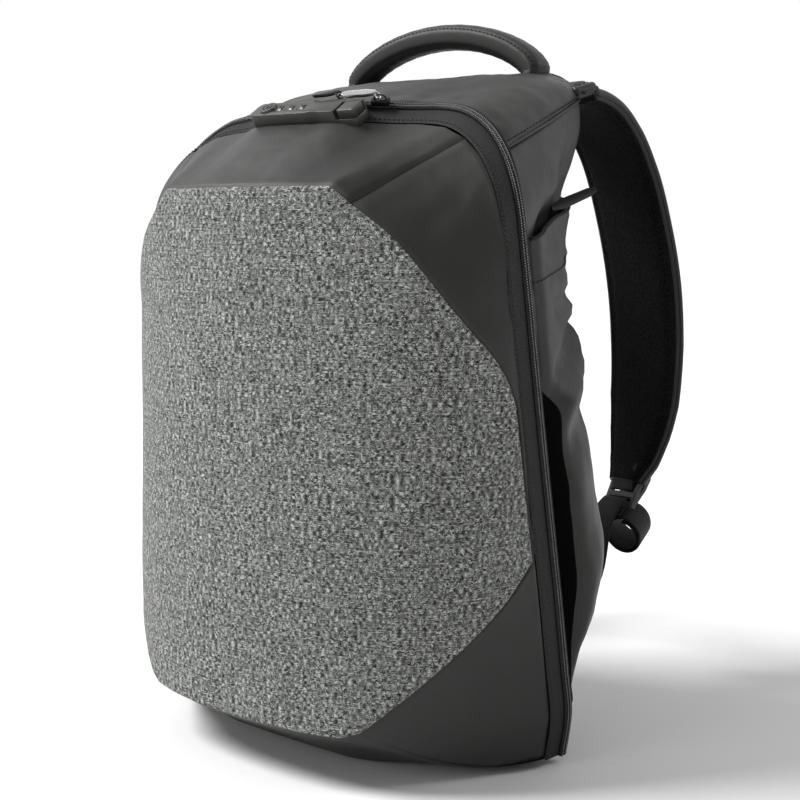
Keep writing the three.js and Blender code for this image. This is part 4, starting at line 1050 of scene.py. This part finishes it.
def web_roll():
    axis = unit(vec(-0.13, 0.9, 0.38))
    up = unit(vec(0, 0, 1) - axis * axis[2])
    side = np.cross(up, axis)
    turns = np.linspace(0, 4 * math.pi, 97)
    radius = TAIL_RADIUS - TAIL_PITCH * turns / (2 * math.pi)
    points = (TAIL_CENTRE + up * (radius * np.cos(turns) * TAIL_STRETCH)[:, None]
              + side * (radius * np.sin(turns))[:, None])
    loops = band_loops(points, np.broadcast_to(axis, points.shape), WEB_WIDTH, WEB_THICKNESS)
    both_sides("web_roll", loops, "webbing", "webbing_tail")


def strap_end_web():
    """The short webbing that ties each strap's end to the buckle's upper slot."""
    centre, across, through, along = STRAP_END
    path = zip(END_WEB_PATH["along"], END_WEB_PATH["through"])
    points = refined(np.array([centre + along * a + through * t for a, t in path]), 6)
    loops = band_loops(points, np.broadcast_to(across, points.shape), WEB_WIDTH + 2, WEB_THICKNESS)
    loft("strap_end_web_right", loops, "webbing")
    loft("strap_end_web_left", mirrored(loops)[:, ::-1], "webbing")


def anchors():
    inside = ANCHOR_FOOT + (ANCHOR_TIP - ANCHOR_FOOT) * -0.9
    points = refined(np.array([inside, ANCHOR_FOOT, ANCHOR_TIP]), 8)
    along = unit(ANCHOR_TIP - inside)
    across = unit(vec(1, 0, 0) - along * along[0])
    through = np.cross(across, along)
    place = np.linspace(0, 2, len(points))
    widths = np.interp(place, [1, 2], [ANCHOR_WIDTH, ANCHOR_TIP_WIDTH])
    wide, deep = rounded_section(32, 0.35, 0.6)
    thick = through * (deep * ANCHOR_HALF_THICKNESS)[:, None]
    loops = np.array([p + across * (wide * w / 2)[:, None] + thick for p, w in zip(points, widths)])
    both_sides("anchor_tab", loops, "coated", "strap_anchor")
    sewn = list(zip(points, widths))[8:]
    for inset in (0.36, 0.42):
        row = [p - across * w * inset for p, w in sewn] + [p + across * w * inset for p, w in sewn[::-1]]
        row = np.array(row) + through * ANCHOR_HALF_THICKNESS
        for side, turn in SIDES:
            stitches(f"anchor_stitches_{round(inset * 100)}_{side}", turn(row), pitch=3.0, length=2.1)


def handle():
    turns = np.linspace(0, math.pi, 61)
    rise = BACK_HEIGHT + HANDLE_RISE * np.sin(turns) ** HANDLE_FULLNESS
    arch = np.stack([HANDLE_HALF_SPAN * np.cos(turns), np.full(len(turns), HANDLE_SETBACK), rise], -1)
    foot = vec(HANDLE_HALF_SPAN, HANDLE_SETBACK - HANDLE_LEAN, BACK_HEIGHT - HANDLE_SINK)
    points = np.concatenate([[foot], arch, [mirrored(foot)]])
    through = np.cross(vec(0, 1, 0), direction(points))
    wide, deep = rounded_section(40, 0.7, 0.8)
    ridge = 1 - 0.16 * np.exp(-((np.abs(wide) - 0.83) / 0.08) ** 2)
    loops = []
    for i, (p, t) in enumerate(zip(points, through)):
        pinch = 1 - 0.12 * math.exp(-min(i, len(points) - 1 - i) / 5) + 0.012 * math.sin(i * 1.9)
        thick = deep * HANDLE_HALF_THICKNESS * ridge * pinch
        loops.append(p + vec(0, 1, 0) * (wide * HANDLE_HALF_WIDTH)[:, None] + t * thick[:, None])
    piece = loft("handle_pad", np.array(loops), "coated", ["top_handle"])
    for side in (-1, 1):
        line = points[3:-3] + vec(0, 9.6 * side, 0)
        for face in (-1, 1):
            word = f"{'back' if side > 0 else 'front'}_{'top' if face > 0 else 'under'}"
            stitches(f"handle_stitches_{word}", line + through[3:-3] * 5.6 * face, pitch=3.6)


lower_webbing()
web_roll()
strap_end_web()
anchors()
handle()


# Rigid parts: the CAD shapes with rounded edges, riding on their own bodies
def add_inlay(bm):
    """The largest face that looks upward gets a sunk field of the mesh's second material."""
    face = max((f for f in bm.faces if f.normal.z > 0.6), key=lambda f: f.calc_area())
    for border, depth in ((0.9, 0), (0.12, -0.25)):
        bmesh.ops.inset_region(bm, faces=[face], thickness=border * MM, depth=depth * MM)
    face.material_index = 1


def bevelled(node, finish, body, width, segments=2, inlay=None):
    mesh = bpy.data.meshes.new(f"{node}_shape")
    bm = bmesh.new()
    bm.from_mesh(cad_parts[node].data)
    bmesh.ops.remove_doubles(bm, verts=bm.verts, dist=1e-6)
    bmesh.ops.dissolve_limit(bm, angle_limit=math.radians(2), verts=bm.verts, edges=bm.edges)
    sharp = [e for e in bm.edges if e.is_manifold and e.calc_face_angle(0) > math.radians(30)]
    bmesh.ops.bevel(bm, geom=sharp, offset=width * MM, segments=segments, affect="EDGES",
                    clamp_overlap=True, profile=0.5)
    for face in bm.faces:
        face.material_index = 0
    if inlay is not None:
        add_inlay(bm)
    bm.to_mesh(mesh)
    bm.free()
    if "custom_normal" in mesh.attributes:
        mesh.attributes.remove(mesh.attributes["custom_normal"])
    mesh.materials.clear()
    mesh.materials.append(MATERIALS[finish])
    if inlay is not None:
        mesh.materials.append(MATERIALS[inlay])
    mesh.shade_smooth()
    mesh.set_sharp_from_angle(angle=math.radians(45))
    piece = add_object(f"{node}_detail", mesh)
    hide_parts(node)
    return settle(piece, body)


def hardware():
    for side in ("right", "left"):
        bevelled(f"strap_buckle_{side}", "plastic", "bag", 0.6)
        bevelled(f"pocket_puller_{side}", "gunmetal", "bag", 0.5, 3)
    bevelled("lock_body", "lock", "bag", 0.45)
    for i in (1, 2, 3):
        bevelled(f"lock_dial_{i}", "dial", f"dial_{i}", 0.35)
    bevelled("lock_core", "gunmetal", "key_core", 0.25)
    bevelled("lock_button", "lock", "release_button", 0.5)
    for place, finish, inlay in (("near", "chrome", "inlay"), ("far", "gunmetal", None)):
        bevelled(f"slider_{place}", "gunmetal", "bag", 0.35)
        bevelled(f"puller_{place}", finish, "bag", 0.3, inlay=inlay)


hardware()


def digit_mesh(text):
    curve = bpy.data.curves.new("digit", "FONT")
    curve.body = text
    curve.size = FIGURE_SIZE * MM
    curve.extrude = 0.06 * MM
    curve.align_x = "CENTER"
    curve.align_y = "CENTER"
    holder = add_object("digit", curve)
    bpy.context.view_layer.update()
    mesh = bpy.data.meshes.new_from_object(holder.evaluated_get(bpy.context.evaluated_depsgraph_get()))
    bpy.data.objects.remove(holder)
    return mesh


def dial_figures():
    for i in (1, 2, 3):
        low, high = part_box(f"lock_dial_{i}")
        centre = (low + high) / 2
        radius = (high.z - low.z) / 2
        bm = bmesh.new()
        for k in range(10):
            mesh = digit_mesh(str(k))
            turn = Matrix.Rotation(LOCK_TILT + math.radians(36 * k - 18 * i), 4, "X")
            mesh.transform(Matrix.Translation(centre) @ turn @ Matrix.Translation((0, 0, radius)))
            bm.from_mesh(mesh)
        figures = bpy.data.meshes.new(f"dial_figures_{i}")
        bm.to_mesh(figures)
        bm.free()
        figures.materials.append(MATERIALS["figure"])
        settle(add_object(f"dial_figures_{i}", figures), f"dial_{i}")


dial_figures()


# Camera, light and floor
def facing(way):
    return Vector(way).to_track_quat("Z", "Y").to_euler()


def point_camera():
    level = math.cos(CAMERA_ELEVATION)
    away = (math.sin(CAMERA_AZIMUTH) * level, -math.cos(CAMERA_AZIMUTH) * level, math.sin(CAMERA_ELEVATION))
    data = bpy.data.cameras.new("camera")
    data.lens = CAMERA_LENS
    data.sensor_width = 36
    camera = add_object("camera", data)
    camera.location = CAMERA_EYE
    camera.rotation_euler = facing(away)
    bpy.context.scene.camera = camera


def light(name, kind, power, way, place=(0, 0, 0)):
    data = bpy.data.lights.new(name, kind)
    data.energy = power
    lamp = add_object(name, data)
    lamp.location = place
    lamp.rotation_euler = facing(way)
    return data


def area_light(name, place, target, size, power):
    data = light(name, "AREA", power, Vector(place) - Vector(target), place)
    data.shape = "DISK"
    data.size = size


def backdrop():
    """A world that is white behind the bag and dimmer on the photographer's side."""
    world = bpy.data.worlds.new("studio")
    world.use_nodes = True
    nodes, links = world.node_tree.nodes, world.node_tree.links
    behind = nodes.new("ShaderNodeVectorMath")
    behind.operation = "DOT_PRODUCT"
    behind.inputs[1].default_value = (-math.sin(CAMERA_AZIMUTH), math.cos(CAMERA_AZIMUTH), 0)
    links.new(nodes.new("ShaderNodeTexCoord").outputs["Generated"], behind.inputs[0])
    strength = nodes.new("ShaderNodeMapRange")
    for socket, value in zip(range(1, 5), (0.1, 0.75, 0.34, 1.0)):
        strength.inputs[socket].default_value = value
    links.new(behind.outputs["Value"], strength.inputs[0])
    nodes["Background"].inputs["Color"].default_value = (1, 1, 1, 1)
    links.new(strength.outputs[0], nodes["Background"].inputs["Strength"])
    return world


def studio():
    bpy.context.scene.world = backdrop()
    bpy.context.scene.view_settings.view_transform = "Standard"
    light("key", "SUN", 4.6, (-1.2, -0.9, 1.7)).angle = math.radians(24)
    area_light("front", (-0.6, -2.2, 0.9), (0, 0, 0.22), 1.0, 10)
    area_light("rim", (1.6, 1.2, 1.6), (0, 0.05, 0.3), 0.9, 14)
    floor_mesh = bpy.data.meshes.new("floor")
    floor_mesh.from_pydata([(-8, -8, 0), (8, -8, 0), (8, 8, 0), (-8, 8, 0)], [], [(0, 1, 2, 3)])
    floor_mesh.materials.append(Shader("floor_paint", (0.7, 0.7, 0.7), 0.8).material)
    add_object("floor", floor_mesh)


point_camera()
studio()
